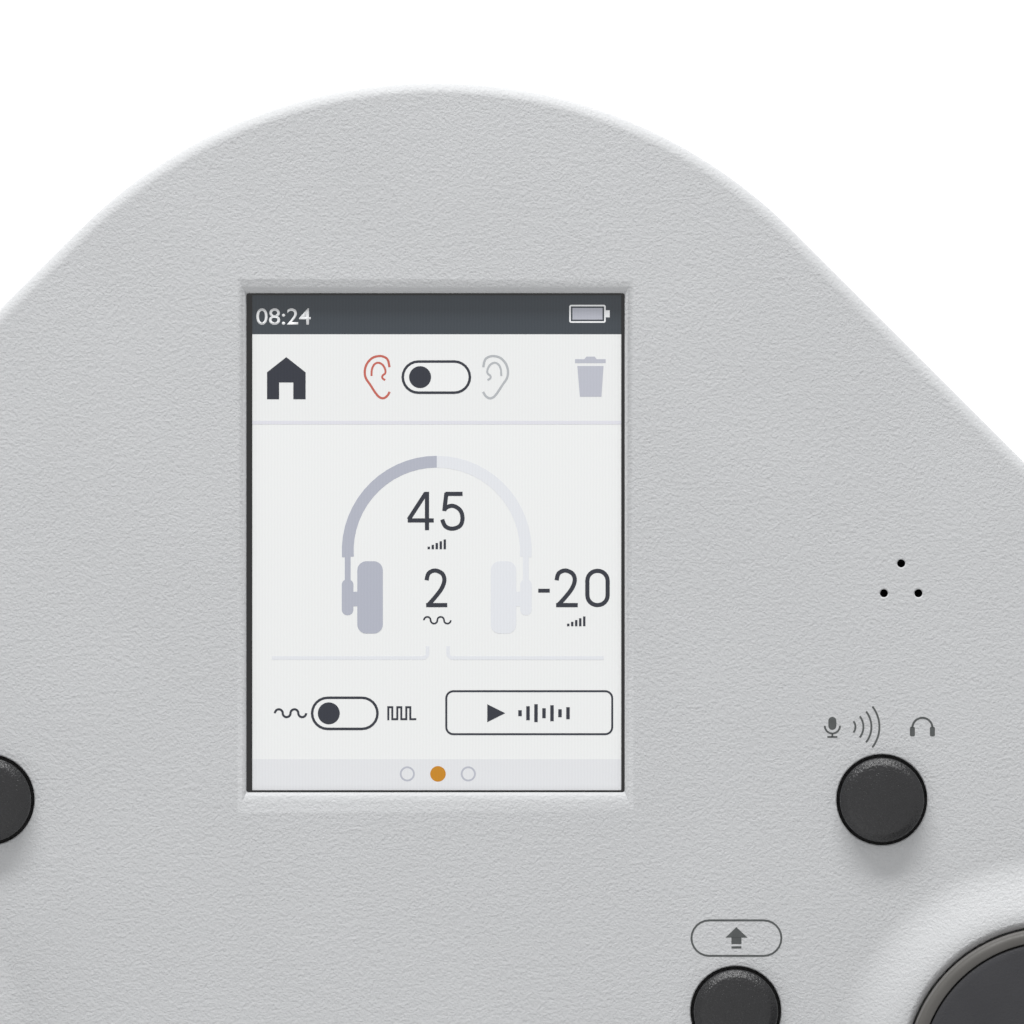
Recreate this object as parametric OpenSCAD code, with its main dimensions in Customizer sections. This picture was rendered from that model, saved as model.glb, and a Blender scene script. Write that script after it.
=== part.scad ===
// Desk-top audiometer: a sloping three-cornered console with a colour touch display,
// two large knobs, five keys, a microphone and a recessed socket bay at the rear.
// The table is at z = 0 and the user sits on the -Y side. The panel frame, used by most
// pieces, has its origin at the centre of the rear arc on the panel's surface, +Y up the
// slope and +Z out of the panel.

/* [Console] */
// Radius of the rounded rear end
rear_r = 66; // [62:0.5:74]
// Radius of the two front corners, centred on the knobs
corner_r = 54; // [48:0.5:58]
// Half the distance between the knobs
knob_x = 80.5; // [78:0.5:92]
// How far the knobs lie in front of the rear arc's centre
knob_y = 63.5; // [61:0.5:70]
// Radius of the bowed front edge
front_r = 650; // [450:10:1200]
// Slope of the panel, in degrees
tilt = 8; // [7:0.5:12]
// Height of the panel's front edge above the table
front_h = 22; // [21.5:0.5:30]

/* [Shells] */
// Wall of both shells
wall = 2.5; // [2:0.1:3]
// Depth of the upper shell, square to the panel
top_depth = 12; // [10.5:0.5:13]
// Rounding of the panel's edge
edge_r = 4; // [2:0.5:6]
// How far the lower shell steps in under the seam
seam_step = 0.5; // [0.3:0.1:1]
// Draft of the lower shell's walls, in degrees
draft = 3; // [1:0.5:5]
// Thickness of the floor
floor_t = 2.5; // [2:0.1:3]
// Gap between the floor and the table
ride_h = 3; // [2:0.5:4]
// Height of the lower shell's tongue inside the upper shell
tongue_h = 2.5; // [1.5:0.5:4]
// Thickness of the tongue
tongue_t = 1.2; // [1:0.1:1.6]
// Clearance between pieces that seat in each other
fit_gap = 0.2; // [0.1:0.05:0.3]

/* [Display] */
// Width of the lit area
screen_w = 48.6; // [46:0.1:50]
// Height of the lit area
screen_h = 64.8; // [61:0.1:67]
// How far the display's centre lies behind the rear arc's centre
display_y = 5.8; // [3:0.1:7]
// Dark margin beside the lit area
margin_x = 0.45; // [0.2:0.05:1]
// Dark margin above and below the lit area
margin_y = 0.25; // [0.1:0.05:1]
// Width of the bevel along the display's rear edge
bevel_rear = 1.8; // [1:0.1:3]
// Width of the bevel along the display's front edge
bevel_front = 2.6; // [1:0.1:3.5]
// Width of the bevels along the display's sides
bevel_side = 0.5; // [0.3:0.1:1.5]
// Depth of the bevels
bevel_d = 0.9; // [0.5:0.1:1]
// Thickness of the panel's lip over the glass
lip_t = 1.2; // [1.1:0.1:1.5]
// How far the glass reaches under the lip
glass_lap = 2.8; // [2:0.1:4]
// Thickness of the foam gasket
gasket_t = 0.5; // [0.3:0.1:0.8]
// Thickness of the touch glass
glass_t = 1.1; // [0.7:0.1:1.5]
// Thickness of the display panel
lcd_t = 2.8; // [2.2:0.1:3.2]
// Length of the display panel
lcd_l = 77; // [73:0.5:78]
// Thickness of the display frame
frame_t = 1.5; // [1.2:0.1:2]
// Distance from the display's centre line to the frame's screws
ear_x = 33; // [32:0.5:36]
// Distance between the frame's screws along the display
ear_pitch = 60; // [50:1:66]

/* [Knobs] */
// Radius of a knob
knob_r = 19; // [17:0.5:20]
// Height of a knob above the panel
knob_h = 13.5; // [11:0.5:18]
// Width of the knob's light rim round its dark cap
rim_w = 1.8; // [1.2:0.1:3]
// Rounding of the knob's top edge
rim_r = 0.8; // [0.3:0.1:1.1]
// Wall of the knob's skirt
skirt_t = 2.4; // [1.8:0.1:3]
// Thickness of the knob's cap
cap_t = 1.6; // [1.2:0.1:2]
// Gap between a knob and its well
knob_gap = 0.5; // [0.3:0.1:0.8]
// Depth of the knob's well below the panel
well_d = 0.8; // [0.4:0.1:1]
// Height of the raised collar round a knob
collar_h = 3; // [1.5:0.1:4]
// Width of the collar
collar_w = 9.3; // [6:0.1:10]
// Radius of the encoder's shaft
shaft_r = 3; // [2.5:0.1:3.2]
// Running clearance of the shaft in its bushing
turn_gap = 0.05; // [0.02:0.01:0.1]
// Radius of the encoder's bushing
bushing_r = 4.5; // [4.2:0.1:5]
// Height of the bushing above the panel
bushing_h = 3.6; // [3:0.1:4]
// Side of the encoder's square body
encoder_w = 14; // [12:0.5:15]
// Height of the encoder's body
encoder_h = 6.5; // [6:0.1:7]

/* [Keys] */
// Radius of the circle of keys round each knob
key_ring_r = 42; // [41:0.5:44]
// Direction of the talk key, and on the left the power key, from the knob
talk_a = 121.8; // [115:0.1:125]
// Direction of the function key from the knob
function_a = 169; // [160:0.5:175]
// Direction of the stimulus keys from the knob
stimulus_a = 216; // [212:0.5:220]
// Radius of a round key
key_r = 5.5; // [4.5:0.1:6]
// Height of a key above the panel
key_h = 2.6; // [1.8:0.1:4]
// Rounding of a key's top edge
key_round = 0.9; // [0.4:0.1:1.2]
// Gap between a key and its hole
key_gap = 0.45; // [0.3:0.05:0.6]
// How far a key goes down
key_travel = 0.8; // [0.5:0.1:1]
// Length of a stimulus key
bar_l = 22; // [16:0.5:24]
// Width of a stimulus key
bar_w = 9; // [7:0.5:10]
// Width of the flange that keeps a key under the panel
flange_w = 1.5; // [1:0.1:1.8]
// Thickness of the flange
flange_t = 1; // [0.8:0.1:1.3]
// Play between the flange and the panel
flange_play = 0.05; // [0.02:0.01:0.1]
// Radius of a key's stem
stem_r = 2.2; // [1.8:0.1:2.4]
// Side of a key switch
switch_w = 6; // [5:0.5:6.5]
// Height of a key switch's housing
switch_h = 3; // [2.8:0.1:3.2]
// Radius of a switch's plunger
plunger_r = 1.75; // [1.2:0.05:2]
// How far the plunger stands out of its housing
plunger_h = 1.1; // [1.05:0.05:1.2]
// How far the plunger reaches into its housing
plunger_in = 1.2; // [0.8:0.1:1.3]

/* [Microphone] */
// Distance of the microphone from the centre line
mic_x = 60.9; // [56:0.1:63]
// Place of the microphone behind the rear arc's centre
mic_y = 0.5; // [-3:0.1:3]
// Radius of a sound hole
sound_hole_r = 0.53; // [0.4:0.01:0.8]
// Radius of the circle through the three sound holes
sound_ring_r = 2.6; // [2:0.1:3]
// Radius of the microphone
mic_r = 3; // [2.5:0.1:3.5]
// Height of the microphone
mic_h = 2.7; // [2:0.1:3.5]
// Wall of the rubber boot round the microphone
boot_t = 1.6; // [1.2:0.1:2]
// How far the boot laps over the microphone's front
boot_lip = 0.2; // [0.1:0.1:0.4]
// Depth of the air space between the panel and the microphone
mic_gap = 1; // [0.5:0.1:1.5]

/* [Boards] */
// Thickness of every circuit board
board_t = 1.6; // [1.2:0.1:1.8]
// Width of the main board
main_w = 62; // [58:1:64]
// Length of the main board
main_l = 100; // [96:1:102]
// Front end of the main board
main_y = -88; // [-89:0.5:-86]
// Height between the display frame and the main board
main_gap = 3.4; // [3.1:0.1:4]
// Height of the parts on the main board
chip_h = 2.4; // [1.5:0.1:2.8]
// Thickness of the ribbon cables
ribbon_t = 0.3; // [0.2:0.05:0.4]
// Width of the display's ribbon cable
display_ribbon_w = 20; // [14:1:24]
// Width of the ribbon cables to the other boards
board_ribbon_w = 12; // [8:1:14]

/* [Connectors] */
// Width of the socket bay
bay_w = 76; // [72:1:78]
// Depth of the bay, from the rear edge of the floor to the socket plate
bay_d = 18; // [16:0.5:19]
// Thickness of the bay's side walls
bay_wall = 2; // [1.8:0.1:2.5]
// Thickness of the socket plate
plate_t = 2; // [1.5:0.1:2.5]
// How deep the socket plate sits in the grooves
groove_d = 1; // [0.8:0.1:1.2]
// Radius of the bore for a 6.35 mm plug
jack_bore_r = 3.25; // [3.2:0.01:3.4]
// Radius of a socket's threaded bush
bush_r = 4.5; // [4:0.1:5]
// How far a bush stands out of the plate
bush_out = 4; // [3:0.1:5]
// Width of a socket's body
jack_w = 15; // [14:0.1:15.6]
// Length of a socket's body
jack_l = 22; // [20:0.5:23]
// Height of a socket's body
jack_h = 14; // [13:0.5:16]
// Distance between the sockets
jack_pitch = 15.8; // [15.6:0.1:16]
// Place of the first socket, from the middle
jack_x = -30; // [-30:0.1:-29]
// Size across the flats of a socket's nut
nut_af = 12; // [11:0.5:13]
// Thickness of a socket's nut
nut_t = 2; // [1.5:0.1:2.5]
// Place of the data port, from the middle
port_x = 31.4; // [30.8:0.1:32]
// Width of the data port's shell
port_w = 9; // [8.6:0.1:9.4]
// Height of the data port's shell
port_h = 3.2; // [3:0.1:3.4]
// Length of the data port's shell
port_l = 8.5; // [7:0.5:10]
// Sheet thickness of the data port's shell
port_t = 0.3; // [0.2:0.05:0.4]
// Height of the socket board above the floor
board_rise = 1.4; // [1.2:0.1:2]

/* [Battery] */
// Width of the battery pack
battery_w = 60; // [50:1:64]
// Length of the battery pack
battery_l = 48; // [40:1:50]
// Height of the battery pack
battery_h = 14; // [10:0.5:15]
// Space round the battery pack
battery_gap = 1; // [0.5:0.1:1.5]
// Height of the walls round the battery pack
pen_h = 8; // [5:0.5:12]
// Thickness of the walls round the battery pack
pen_t = 2; // [1.5:0.1:2.5]
// Thickness of the battery door
door_t = 2; // [1.5:0.1:2.3]
// How far the battery door laps over its opening
door_lap = 2; // [1.5:0.1:2.5]
// Length of the door's strip that takes its screw
door_strip = 9; // [8:0.5:12]
// Length of the door's screw below the head
door_screw_l = 5; // [4:0.5:6]

/* [Feet and fixings] */
// Radius of a foot
foot_r = 6; // [5:0.5:8]
// How deep a foot sits in the floor
foot_in = 1; // [0.6:0.1:1.4]
// Bevel of a foot's lower edge
foot_bevel = 1; // [0.5:0.1:1.5]
// Distance of the front feet from the middle
front_foot_x = 84; // [70:1:90]
// Distance of the rear feet from the middle
rear_foot_x = 42; // [42:1:46]
// Radius of the case screws' threads
screw_r = 1.25; // [1:0.05:1.5]
// Radius of the case screws' heads
head_r = 2.7; // [2.3:0.1:2.9]
// Height of the screw heads
head_h = 1.6; // [1.2:0.1:2]
// Radius of the screw posts
post_r = 3.5; // [3.4:0.1:4]
// Radius of the board screws' threads
board_screw_r = 1; // [0.8:0.05:1.2]
// Radius of the board screws' heads
board_head_r = 2; // [1.7:0.1:2.2]
// Length of the board screws below the head
board_screw_l = 4; // [3.6:0.1:4.2]

/* [Hidden] */
$fn = 96;
// Steps of the case's corner and front arcs, in degrees
arc_step = 4;
front_step = 1.3;
// Overlap of cutting shapes past the faces they cut
past = 1;
// Larger than the console in every direction
reach = 400;
SIDES = [-1, 1];

// Outline: three arcs round the corners, two straight sides and the bowed front
side_a = acos((rear_r - corner_r) / norm([knob_x, knob_y])) - atan2(knob_y, knob_x);
front_half = asin(knob_x / (front_r - corner_r));
front_cy = (front_r - corner_r) * cos(front_half) - knob_y;
front_l = front_r - front_cy;

// Place of the panel frame, which centres the console's outer box on the origin
panel_z = front_h + front_l * sin(tilt);
front_reach = (front_l - edge_r) * cos(tilt) - edge_r * sin(tilt) + edge_r;
base_depth = (panel_z - ride_h + (rear_r - seam_step + top_depth * tan(draft)) * sin(tilt))
    / (cos(tilt) + tan(draft) * sin(tilt));
base_rear = rear_r - seam_step - (base_depth - top_depth) * tan(draft);
rear_reach = base_rear * cos(tilt) + base_depth * sin(tilt);
panel_y = (front_reach - rear_reach) / 2;
rear_y = panel_y + rear_reach;
floor_z = ride_h + floor_t;

// Heights below the panel, in the panel frame
glass_z = -lip_t - gasket_t;
lcd_z = glass_z - glass_t;
frame_z = lcd_z - lcd_t;
main_z = frame_z - frame_t - main_gap;
key_board_z = -wall - encoder_h;
plunger_z = key_board_z + switch_h + plunger_h;
mic_z = -wall - mic_gap;
post_z = -top_depth - 2;
seat_z = post_z - fit_gap - 3;
screw_l = 9;

// Display sizes
opening_w = screen_w + 2 * margin_x;
opening_h = screen_h + 2 * margin_y;
glass_w = opening_w + 2 * glass_lap;
glass_l = opening_h + 2 * glass_lap;
lcd_w = glass_w - 0.4;
lcd_rear = display_y + screen_h / 2 + 3.5;
frame_w = lcd_w + 2 * (fit_gap + frame_t);
ribbon_loop = 3;

// Knobs
well_r = knob_r + knob_gap;
cap_r = knob_r - rim_w;
shaft_top = knob_h - cap_t - 1.2;
hub_r = shaft_r + 3;
shaft_foot = 1;
flat_depth = 0.5;
encoder_nut_af = 12;
encoder_nut_t = 2;

// Key and screw places in the panel frame, for the right-hand side
function key_at(a) = [knob_x + key_ring_r * cos(a), key_ring_r * sin(a) - knob_y];
function beside(p, side) = [side * p[0], p[1]];
function board_height(y, depth) =
    panel_z - depth * cos(tilt) + (y - panel_y - depth * sin(tilt)) * tan(tilt);

// The key board is drawn round the knob's centre, with its inner edge beside the main board
board_gap = 2.5;
key_board_in = main_w / 2 + board_gap - knob_x;
key_board_outline = [
    [key_board_in, -36], [key_board_in, 19], [-30, 47], [-12, 47], [17, 18], [17, -18], [-1, -36]
];
key_board_posts = [[key_board_in + 3, -32], [4, -26], [-30.5, 41.5], [12.5, 15.5]];
case_posts = [[28, -44], [knob_x + 31.5, -16.5], [62, 83.5]];
main_posts = [[main_w / 2 - 4, 4], [main_w / 2 - 4, 48]];
// Rear edge of the ribbon cables to the key boards, between the main board's posts
side_ribbon_y = main_y + 28;

// Socket bay
plate_y = rear_y - bay_d;
plate_front = plate_y - plate_t;
jack_board_z = floor_z + board_rise + board_t;
jack_z = jack_board_z + jack_h / 2;
socket_board_l = jack_l + 2;
port_z = jack_board_z + port_h / 2;

// Battery, in front of the sockets
pen_w = battery_w + 2 * battery_gap;
pen_l = battery_l + 2 * battery_gap;
battery_y = plate_front - jack_l - 7 - pen_t - pen_l / 2;
door_w = pen_w + 2 * door_lap;
door_l = pen_l + door_lap + door_strip;
door_y = battery_y + (door_lap - door_strip) / 2;
door_screw_y = battery_y - (pen_l + door_strip) / 2;
seat_h = floor_t + 2;
seat_rim = 3;
contact_h = 6;

// ---- Frames and shared shapes ----

module on_panel() {
    translate([0, panel_y, panel_z]) rotate([tilt, 0, 0]) children();
}

module at_knob(side) {
    on_panel() translate([side * knob_x, -knob_y, 0]) children();
}

module at_key(side, a) {
    on_panel() translate(concat(beside(key_at(a), side), 0)) children();
}

module disc(r, low, high) {
    translate([0, 0, low]) cylinder(r = r, h = high - low);
}

module block(w, l, low, high) {
    translate([-w / 2, -l / 2, low]) cube([w, l, high - low]);
}

// A bar with round ends, w by l
module stadium(w, l, low, high) {
    block(w, l - w, low, high);
    for (s = SIDES) translate([0, s * (l - w) / 2, 0]) disc(w / 2, low, high);
}

function arc(centre, r, from, to, step) = let (n = ceil((to - from) / step)) [
    for (i = [0 : n]) let (a = from + (to - from) * i / n) centre + r * [cos(a), sin(a)]
];

function trimmed(list) = [for (i = [1 : len(list) - 2]) list[i]];

// The case's outline, drawn in by inset, anticlockwise from the right-hand side
function outline(inset) = concat(
    arc([0, 0], rear_r - inset, side_a, 180 - side_a, arc_step),
    arc([-knob_x, -knob_y], corner_r - inset, 180 - side_a, 270 - front_half, arc_step),
    trimmed(arc([0, front_cy], front_r - inset, 270 - front_half, 270 + front_half, front_step)),
    arc([knob_x, -knob_y], corner_r - inset, front_half - 90, side_a, arc_step)
);

module case_prism(inset, low, high) {
    translate([0, 0, low]) linear_extrude(high - low) polygon(outline(inset));
}

// A solid skinned over outlines at several heights: rings = [[inset, z], ...] from low to high
module case_form(rings) {
    n = len(outline(0));
    points = [for (ring = rings) for (p = outline(ring[0])) [p[0], p[1], ring[1]]];
    sides = [
        for (i = [0 : len(rings) - 2]) for (j = [0 : n - 1]) let (k = (j + 1) % n)
            [i * n + j, (i + 1) * n + j, (i + 1) * n + k, i * n + k]
    ];
    low = [for (j = [0 : n - 1]) j];
    high = [for (j = [n - 1 : -1 : 0]) (len(rings) - 1) * n + j];
    polyhedron(points, concat([low], sides, [high]));
}

// The lower shell's outer form, drawn in by inset, from the level low up to the seam
module lower_form(inset, low, over = 0) {
    deep = base_depth + 2 * ride_h;
    top_inset = seam_step + inset;
    intersection() {
        on_panel() case_form([
            [top_inset + (deep - top_depth) * tan(draft), -deep],
            [top_inset - over * tan(draft), over - top_depth]
        ]);
        translate([-reach / 2, -reach / 2, low]) cube([reach, reach, reach]);
    }
}

// ---- Shells ----

// A smooth rise and fall round a knob, from the well out to the flat of the panel
module collar() {
    steps = 12;
    crest = 1.2;
    slope_w = collar_w - crest;
    rotate_extrude() polygon(concat(
        [[well_r - past, -wall], [well_r - past, collar_h]],
        [for (i = [0 : steps]) [
            well_r + crest + slope_w * i / steps, collar_h * (1 + cos(180 * i / steps)) / 2
        ]],
        [[well_r + collar_w, -wall]]
    ));
}

// The display's opening, with its four bevels
module display_cut() {
    deep = bevel_d;
    intersection() {
        rotate([90, 0, 0]) linear_extrude(reach, center = true) polygon([
            [-opening_w / 2, -deep], [opening_w / 2, -deep],
            [opening_w / 2 + 2 * bevel_side, deep], [-opening_w / 2 - 2 * bevel_side, deep]
        ]);
        rotate([90, 0, 90]) linear_extrude(reach, center = true) polygon([
            [-opening_h / 2, -deep], [opening_h / 2, -deep],
            [opening_h / 2 + 2 * bevel_rear, deep], [-opening_h / 2 - 2 * bevel_front, deep]
        ]);
    }
    block(opening_w, opening_h, -wall - past, past);
    block(glass_w + 2 * fit_gap, glass_l + 2 * fit_gap, -wall - past, -lip_t);
}

module case_post_places() {
    for (s = SIDES) for (p = case_posts) translate([s * p[0], p[1] - knob_y, 0]) children();
}

module key_board_post_places() {
    for (s = SIDES) for (p = key_board_posts)
        translate([s * (knob_x + p[0]), p[1] - knob_y, 0]) children();
}

module main_post_places() {
    for (s = SIDES) for (p = main_posts) translate([s * p[0], main_y + p[1], 0]) children();
}

module ear_places() {
    for (s = SIDES) for (t = SIDES)
        translate([s * ear_x, display_y + t * ear_pitch / 2, 0]) children();
}

module sound_hole_places() {
    translate([mic_x, mic_y, 0]) for (a = [90, 210, 330])
        translate([sound_ring_r * cos(a), sound_ring_r * sin(a), 0]) children();
}

module top_shell() {
    board_post_r = board_head_r + 0.5;
    edge_steps = 5;
    edge_rings = concat([[0, -top_depth]], [for (i = [0 : edge_steps]) let (a = 90 * i / edge_steps)
        [edge_r * (1 - cos(a)), edge_r * (sin(a) - 1)]]);
    color("lightgray") on_panel() difference() {
        union() {
            difference() {
                case_form(edge_rings);
                case_prism(wall, -top_depth - past, -wall);
            }
            for (s = SIDES) translate([s * knob_x, -knob_y, 0]) collar();
            case_post_places() disc(post_r, post_z, -wall / 2);
            key_board_post_places() disc(board_post_r, key_board_z, -wall / 2);
            main_post_places() disc(board_post_r, main_z, -wall / 2);
            ear_places() disc(board_post_r, frame_z, -wall / 2);
        }
        translate([0, display_y, 0]) display_cut();
        for (s = SIDES) translate([s * knob_x, -knob_y, 0]) {
            disc(well_r, -well_d, collar_h + past);
            disc(bushing_r + fit_gap, -wall - past, 0);
        }
        for (k = [[talk_a, 1], [function_a, 1], [talk_a, -1]])
            translate(concat(beside(key_at(k[0]), k[1]), 0))
                disc(key_r + key_gap, -wall - past, past);
        for (s = SIDES) translate(concat(beside(key_at(stimulus_a), s), 0))
            rotate([0, 0, s * stimulus_a])
                stadium(bar_w + 2 * key_gap, bar_l + 2 * key_gap, -wall - past, past);
        sound_hole_places() disc(sound_hole_r, -wall - past, past);
        case_post_places() disc(screw_r, post_z - past, seat_z + screw_l + fit_gap);
        key_board_post_places() screw_hole(key_board_z);
        main_post_places() screw_hole(main_z);
        ear_places() screw_hole(frame_z);
    }
}

// The blind hole for a board screw in a post that ends at z
module screw_hole(z) {
    disc(board_screw_r, z - past, z - board_t + board_screw_l + fit_gap);
}

module bottom_shell() {
    tongue_in = wall + fit_gap;
    tongue_top = tongue_h - top_depth;
    color("gainsboro") difference() {
        union() {
            difference() {
                lower_form(0, ride_h);
                lower_form(wall, floor_z, past);
            }
            on_panel() difference() {
                case_prism(tongue_in, -top_depth - tongue_h, tongue_top);
                case_prism(tongue_in + tongue_t, -reach, tongue_top + past);
            }
            intersection() {
                lower_form(0, ride_h);
                union() {
                    on_panel() case_post_places() disc(post_r, -reach / 2, post_z - fit_gap);
                    translate([0, door_y, ride_h])
                        block(door_w + 2 * seat_rim, door_l + 2 * seat_rim, 0, seat_h);
                    translate([0, battery_y, ride_h])
                        block(pen_w + 2 * pen_t, pen_l + 2 * pen_t, 0, seat_h + pen_h);
                    door_screw_place() disc(post_r, 0, head_h + door_screw_l + floor_t);
                    translate([0, plate_front - socket_board_l / 2, ride_h])
                        for (s = SIDES) for (t = SIDES)
                            translate([s * (bay_w / 2 - 4), t * (socket_board_l / 2 - 3), 0])
                                disc(2, 0, floor_t + board_rise);
                }
            }
            bay_walls();
        }
        translate([-bay_w / 2, plate_y - plate_t / 2, floor_z]) cube([bay_w, reach, reach]);
        translate([0, plate_y - plate_t / 2, floor_z]) block(
            bay_w + 2 * groove_d, plate_t + 2 * fit_gap, 0, reach
        );
        translate([0, battery_y, 0]) block(pen_w, pen_l, 0, reach);
        translate([0, door_y, 0])
            block(door_w + 2 * fit_gap, door_l + 2 * fit_gap, 0, ride_h + door_t + fit_gap);
        on_panel() case_post_places() {
            disc(screw_r + fit_gap, -reach / 2, post_z + past);
            disc(head_r + fit_gap, -reach / 2, seat_z);
        }
        foot_places() disc(foot_r + fit_gap / 2, ride_h - past, ride_h + foot_in);
        door_screw_place() disc(screw_r, 0, head_h + door_screw_l + fit_gap);
    }
}

// Side walls of the socket bay, which reach up to the panel's underside
module bay_walls() {
    back = rear_reach;
    intersection() {
        union() {
            lower_form(wall / 2, ride_h + floor_t / 2);
            on_panel() case_prism(wall + fit_gap, -top_depth - past, -wall - fit_gap);
        }
        for (s = SIDES) translate([
            s * (bay_w + bay_wall + groove_d) / 2, plate_front + back / 2 - bay_wall, ride_h
        ]) block(bay_wall + groove_d, back, floor_t / 2, reach);
    }
}

module foot_places() {
    for (s = SIDES) {
        translate([s * front_foot_x, panel_y - knob_y, 0]) children();
        translate([s * rear_foot_x, plate_front - jack_l, 0]) children();
    }
}

module rubber_feet() {
    color("dimgray") foot_places() {
        disc(foot_r, foot_bevel, ride_h + foot_in);
        cylinder(r1 = foot_r - foot_bevel, r2 = foot_r, h = foot_bevel);
    }
}

// ---- Display ----

module display_gasket() {
    color("black") on_panel() translate([0, display_y, 0]) difference() {
        block(glass_w, glass_l, glass_z, -lip_t);
        block(opening_w + 1, opening_h + 1, glass_z - past, past);
    }
}

module touch_glass() {
    color("lightcyan") on_panel() translate([0, display_y, 0])
        block(glass_w, glass_l, lcd_z, glass_z);
}

module display_panel() {
    color("whitesmoke") on_panel() translate([0, lcd_rear - lcd_l / 2, 0])
        block(lcd_w, lcd_l, frame_z, lcd_z);
}

module display_frame() {
    ear_r = board_head_r + 0.8;
    window = 8;
    color("dimgray") on_panel() difference() {
        union() {
            translate([0, lcd_rear - lcd_l / 2, 0]) {
                block(frame_w, lcd_l + frame_w - lcd_w, frame_z - frame_t, lcd_z - fit_gap);
            }
            ear_places() disc(ear_r, frame_z - frame_t, frame_z);
            for (t = SIDES) translate([0, display_y + t * ear_pitch / 2, 0])
                block(2 * ear_x, 2 * ear_r, frame_z - frame_t, frame_z);
        }
        translate([0, lcd_rear - lcd_l / 2, 0]) {
            block(lcd_w + 2 * fit_gap, lcd_l + 2 * fit_gap, frame_z, reach);
            block(lcd_w - 2 * window, lcd_l - 2 * window, -reach, reach);
            translate([0, -lcd_l / 2, 0])
                block(display_ribbon_w + 2, 2 * window, -reach, reach);
        }
        ear_places() {
            disc(board_screw_r + fit_gap, -reach, reach);
            disc(board_head_r + 1, frame_z, reach);
        }
    }
}

// The ribbon leaves the display's front end and turns back under it to the main board
module display_ribbon() {
    end = lcd_rear - lcd_l;
    top = lcd_z - lcd_t / 2;
    low = main_z;
    tip = end - ribbon_loop;
    color("peru") on_panel() rotate([90, 0, 90])
        linear_extrude(display_ribbon_w, center = true) polygon([
            [end, top], [tip, top], [tip, low], [end + 4, low], [end + 4, low + ribbon_t],
            [tip + ribbon_t, low + ribbon_t], [tip + ribbon_t, top - ribbon_t],
            [end, top - ribbon_t]
        ]);
}

// ---- Knobs ----

// A shaft with a flat on its upper part
module shaft_form(r, low, high) {
    difference() {
        disc(r, low, high);
        translate([r - flat_depth, -r, bushing_h + 0.5]) cube([r, 2 * r, high + past]);
    }
}

module knob(side) {
    color("dimgray") at_knob(side) difference() {
        rotate_extrude() {
            square([knob_r - rim_r, knob_h]);
            square([knob_r, knob_h - rim_r]);
            translate([knob_r - rim_r, knob_h - rim_r]) circle(rim_r);
        }
        disc(cap_r, knob_h - cap_t, knob_h + past);
        difference() {
            disc(knob_r - skirt_t, -past, shaft_top - 1);
            disc(hub_r, bushing_h + 0.5, shaft_top);
        }
        shaft_form(shaft_r, bushing_h, shaft_top);
    }
}

module knob_cap(side) {
    dish_r = 160;
    seat = knob_h - cap_t;
    color("darkslategray") at_knob(side) difference() {
        disc(cap_r - knob_gap / 4, seat, knob_h - 0.1);
        translate([0, 0, knob_h - 0.5 + dish_r]) sphere(dish_r, $fn = 200);
    }
}

module encoder_shaft(side) {
    color("silver") at_knob(side)
        shaft_form(shaft_r, key_board_z + shaft_foot, shaft_top);
}

module encoder(side) {
    color("slategray") at_knob(side) difference() {
        union() {
            block(encoder_w, encoder_w, key_board_z, -wall);
            disc(bushing_r, -wall, bushing_h);
        }
        disc(shaft_r + turn_gap, key_board_z + shaft_foot - fit_gap, reach);
    }
}

// A hexagon nut from low up, with a bore of radius r
module hex_nut(af, r, low, high) {
    difference() {
        translate([0, 0, low]) cylinder(r = af / sqrt(3), h = high - low, $fn = 6);
        disc(r, low - past, high + past);
    }
}

module encoder_nut(side) {
    color("silver") at_knob(side)
        hex_nut(encoder_nut_af, bushing_r, -well_d, encoder_nut_t - well_d);
}

// ---- Keys ----

// The round keys: [direction from the knob, side]
talk_place = [talk_a, 1];
function_place = [function_a, 1];
power_place = [talk_a, -1];
key_places = [
    talk_place, function_place, power_place, [stimulus_a, 1], [stimulus_a, -1]
];

module round_key(place) {
    flange_z = -wall - flange_play;
    crown_r = 30;
    color("darkslategray") at_key(place[1], place[0]) {
        intersection() {
            rotate_extrude() {
                translate([0, flange_z]) square([key_r - key_round, key_h - flange_z]);
                translate([0, flange_z]) square([key_r, key_h - key_round - flange_z]);
                translate([key_r - key_round, key_h - key_round]) circle(key_round);
            }
            translate([0, 0, key_h - crown_r]) sphere(crown_r, $fn = 200);
        }
        disc(key_r + flange_w, flange_z - flange_t, flange_z);
        disc(stem_r, plunger_z, flange_z);
    }
}

module stimulus_key(side) {
    flange_z = -wall - flange_play;
    step = key_round / 2;
    color("darkslategray") at_key(side, stimulus_a) rotate([0, 0, side * stimulus_a]) {
        stadium(bar_w, bar_l, flange_z, key_h - step);
        stadium(bar_w - step, bar_l - step, flange_z, key_h);
        stadium(bar_w + 2 * flange_w, bar_l + 2 * flange_w, flange_z - flange_t, flange_z);
        disc(stem_r, plunger_z, flange_z);
    }
}

module plunger(place) {
    color("black") at_key(place[1], place[0])
        disc(plunger_r, plunger_z - plunger_h - plunger_in, plunger_z);
}

module key_switches() {
    bore_low = plunger_z - plunger_h - plunger_in - key_travel - fit_gap / 2;
    color("silver") for (k = key_places) at_key(k[1], k[0]) difference() {
        block(switch_w, switch_w, key_board_z, key_board_z + switch_h);
        disc(plunger_r + turn_gap, bore_low, reach);
    }
}

// ---- Microphone ----

module microphone_boot() {
    color("dimgray") on_panel() translate([mic_x, mic_y, 0]) difference() {
        disc(mic_r + boot_t, mic_z - mic_h - boot_t, -wall);
        disc(mic_r, mic_z - mic_h, mic_z);
        disc(mic_r - boot_lip, mic_z - past, reach);
    }
}

module microphone() {
    color("silver") on_panel() translate([mic_x, mic_y, 0]) disc(mic_r, mic_z - mic_h, mic_z);
}

// ---- Boards and ribbon cables ----

module main_board() {
    color("seagreen") on_panel() difference() {
        translate([0, main_y + main_l / 2, 0]) block(main_w, main_l, main_z - board_t, main_z);
        main_post_places() disc(board_screw_r + fit_gap, -reach, reach);
    }
}

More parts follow.
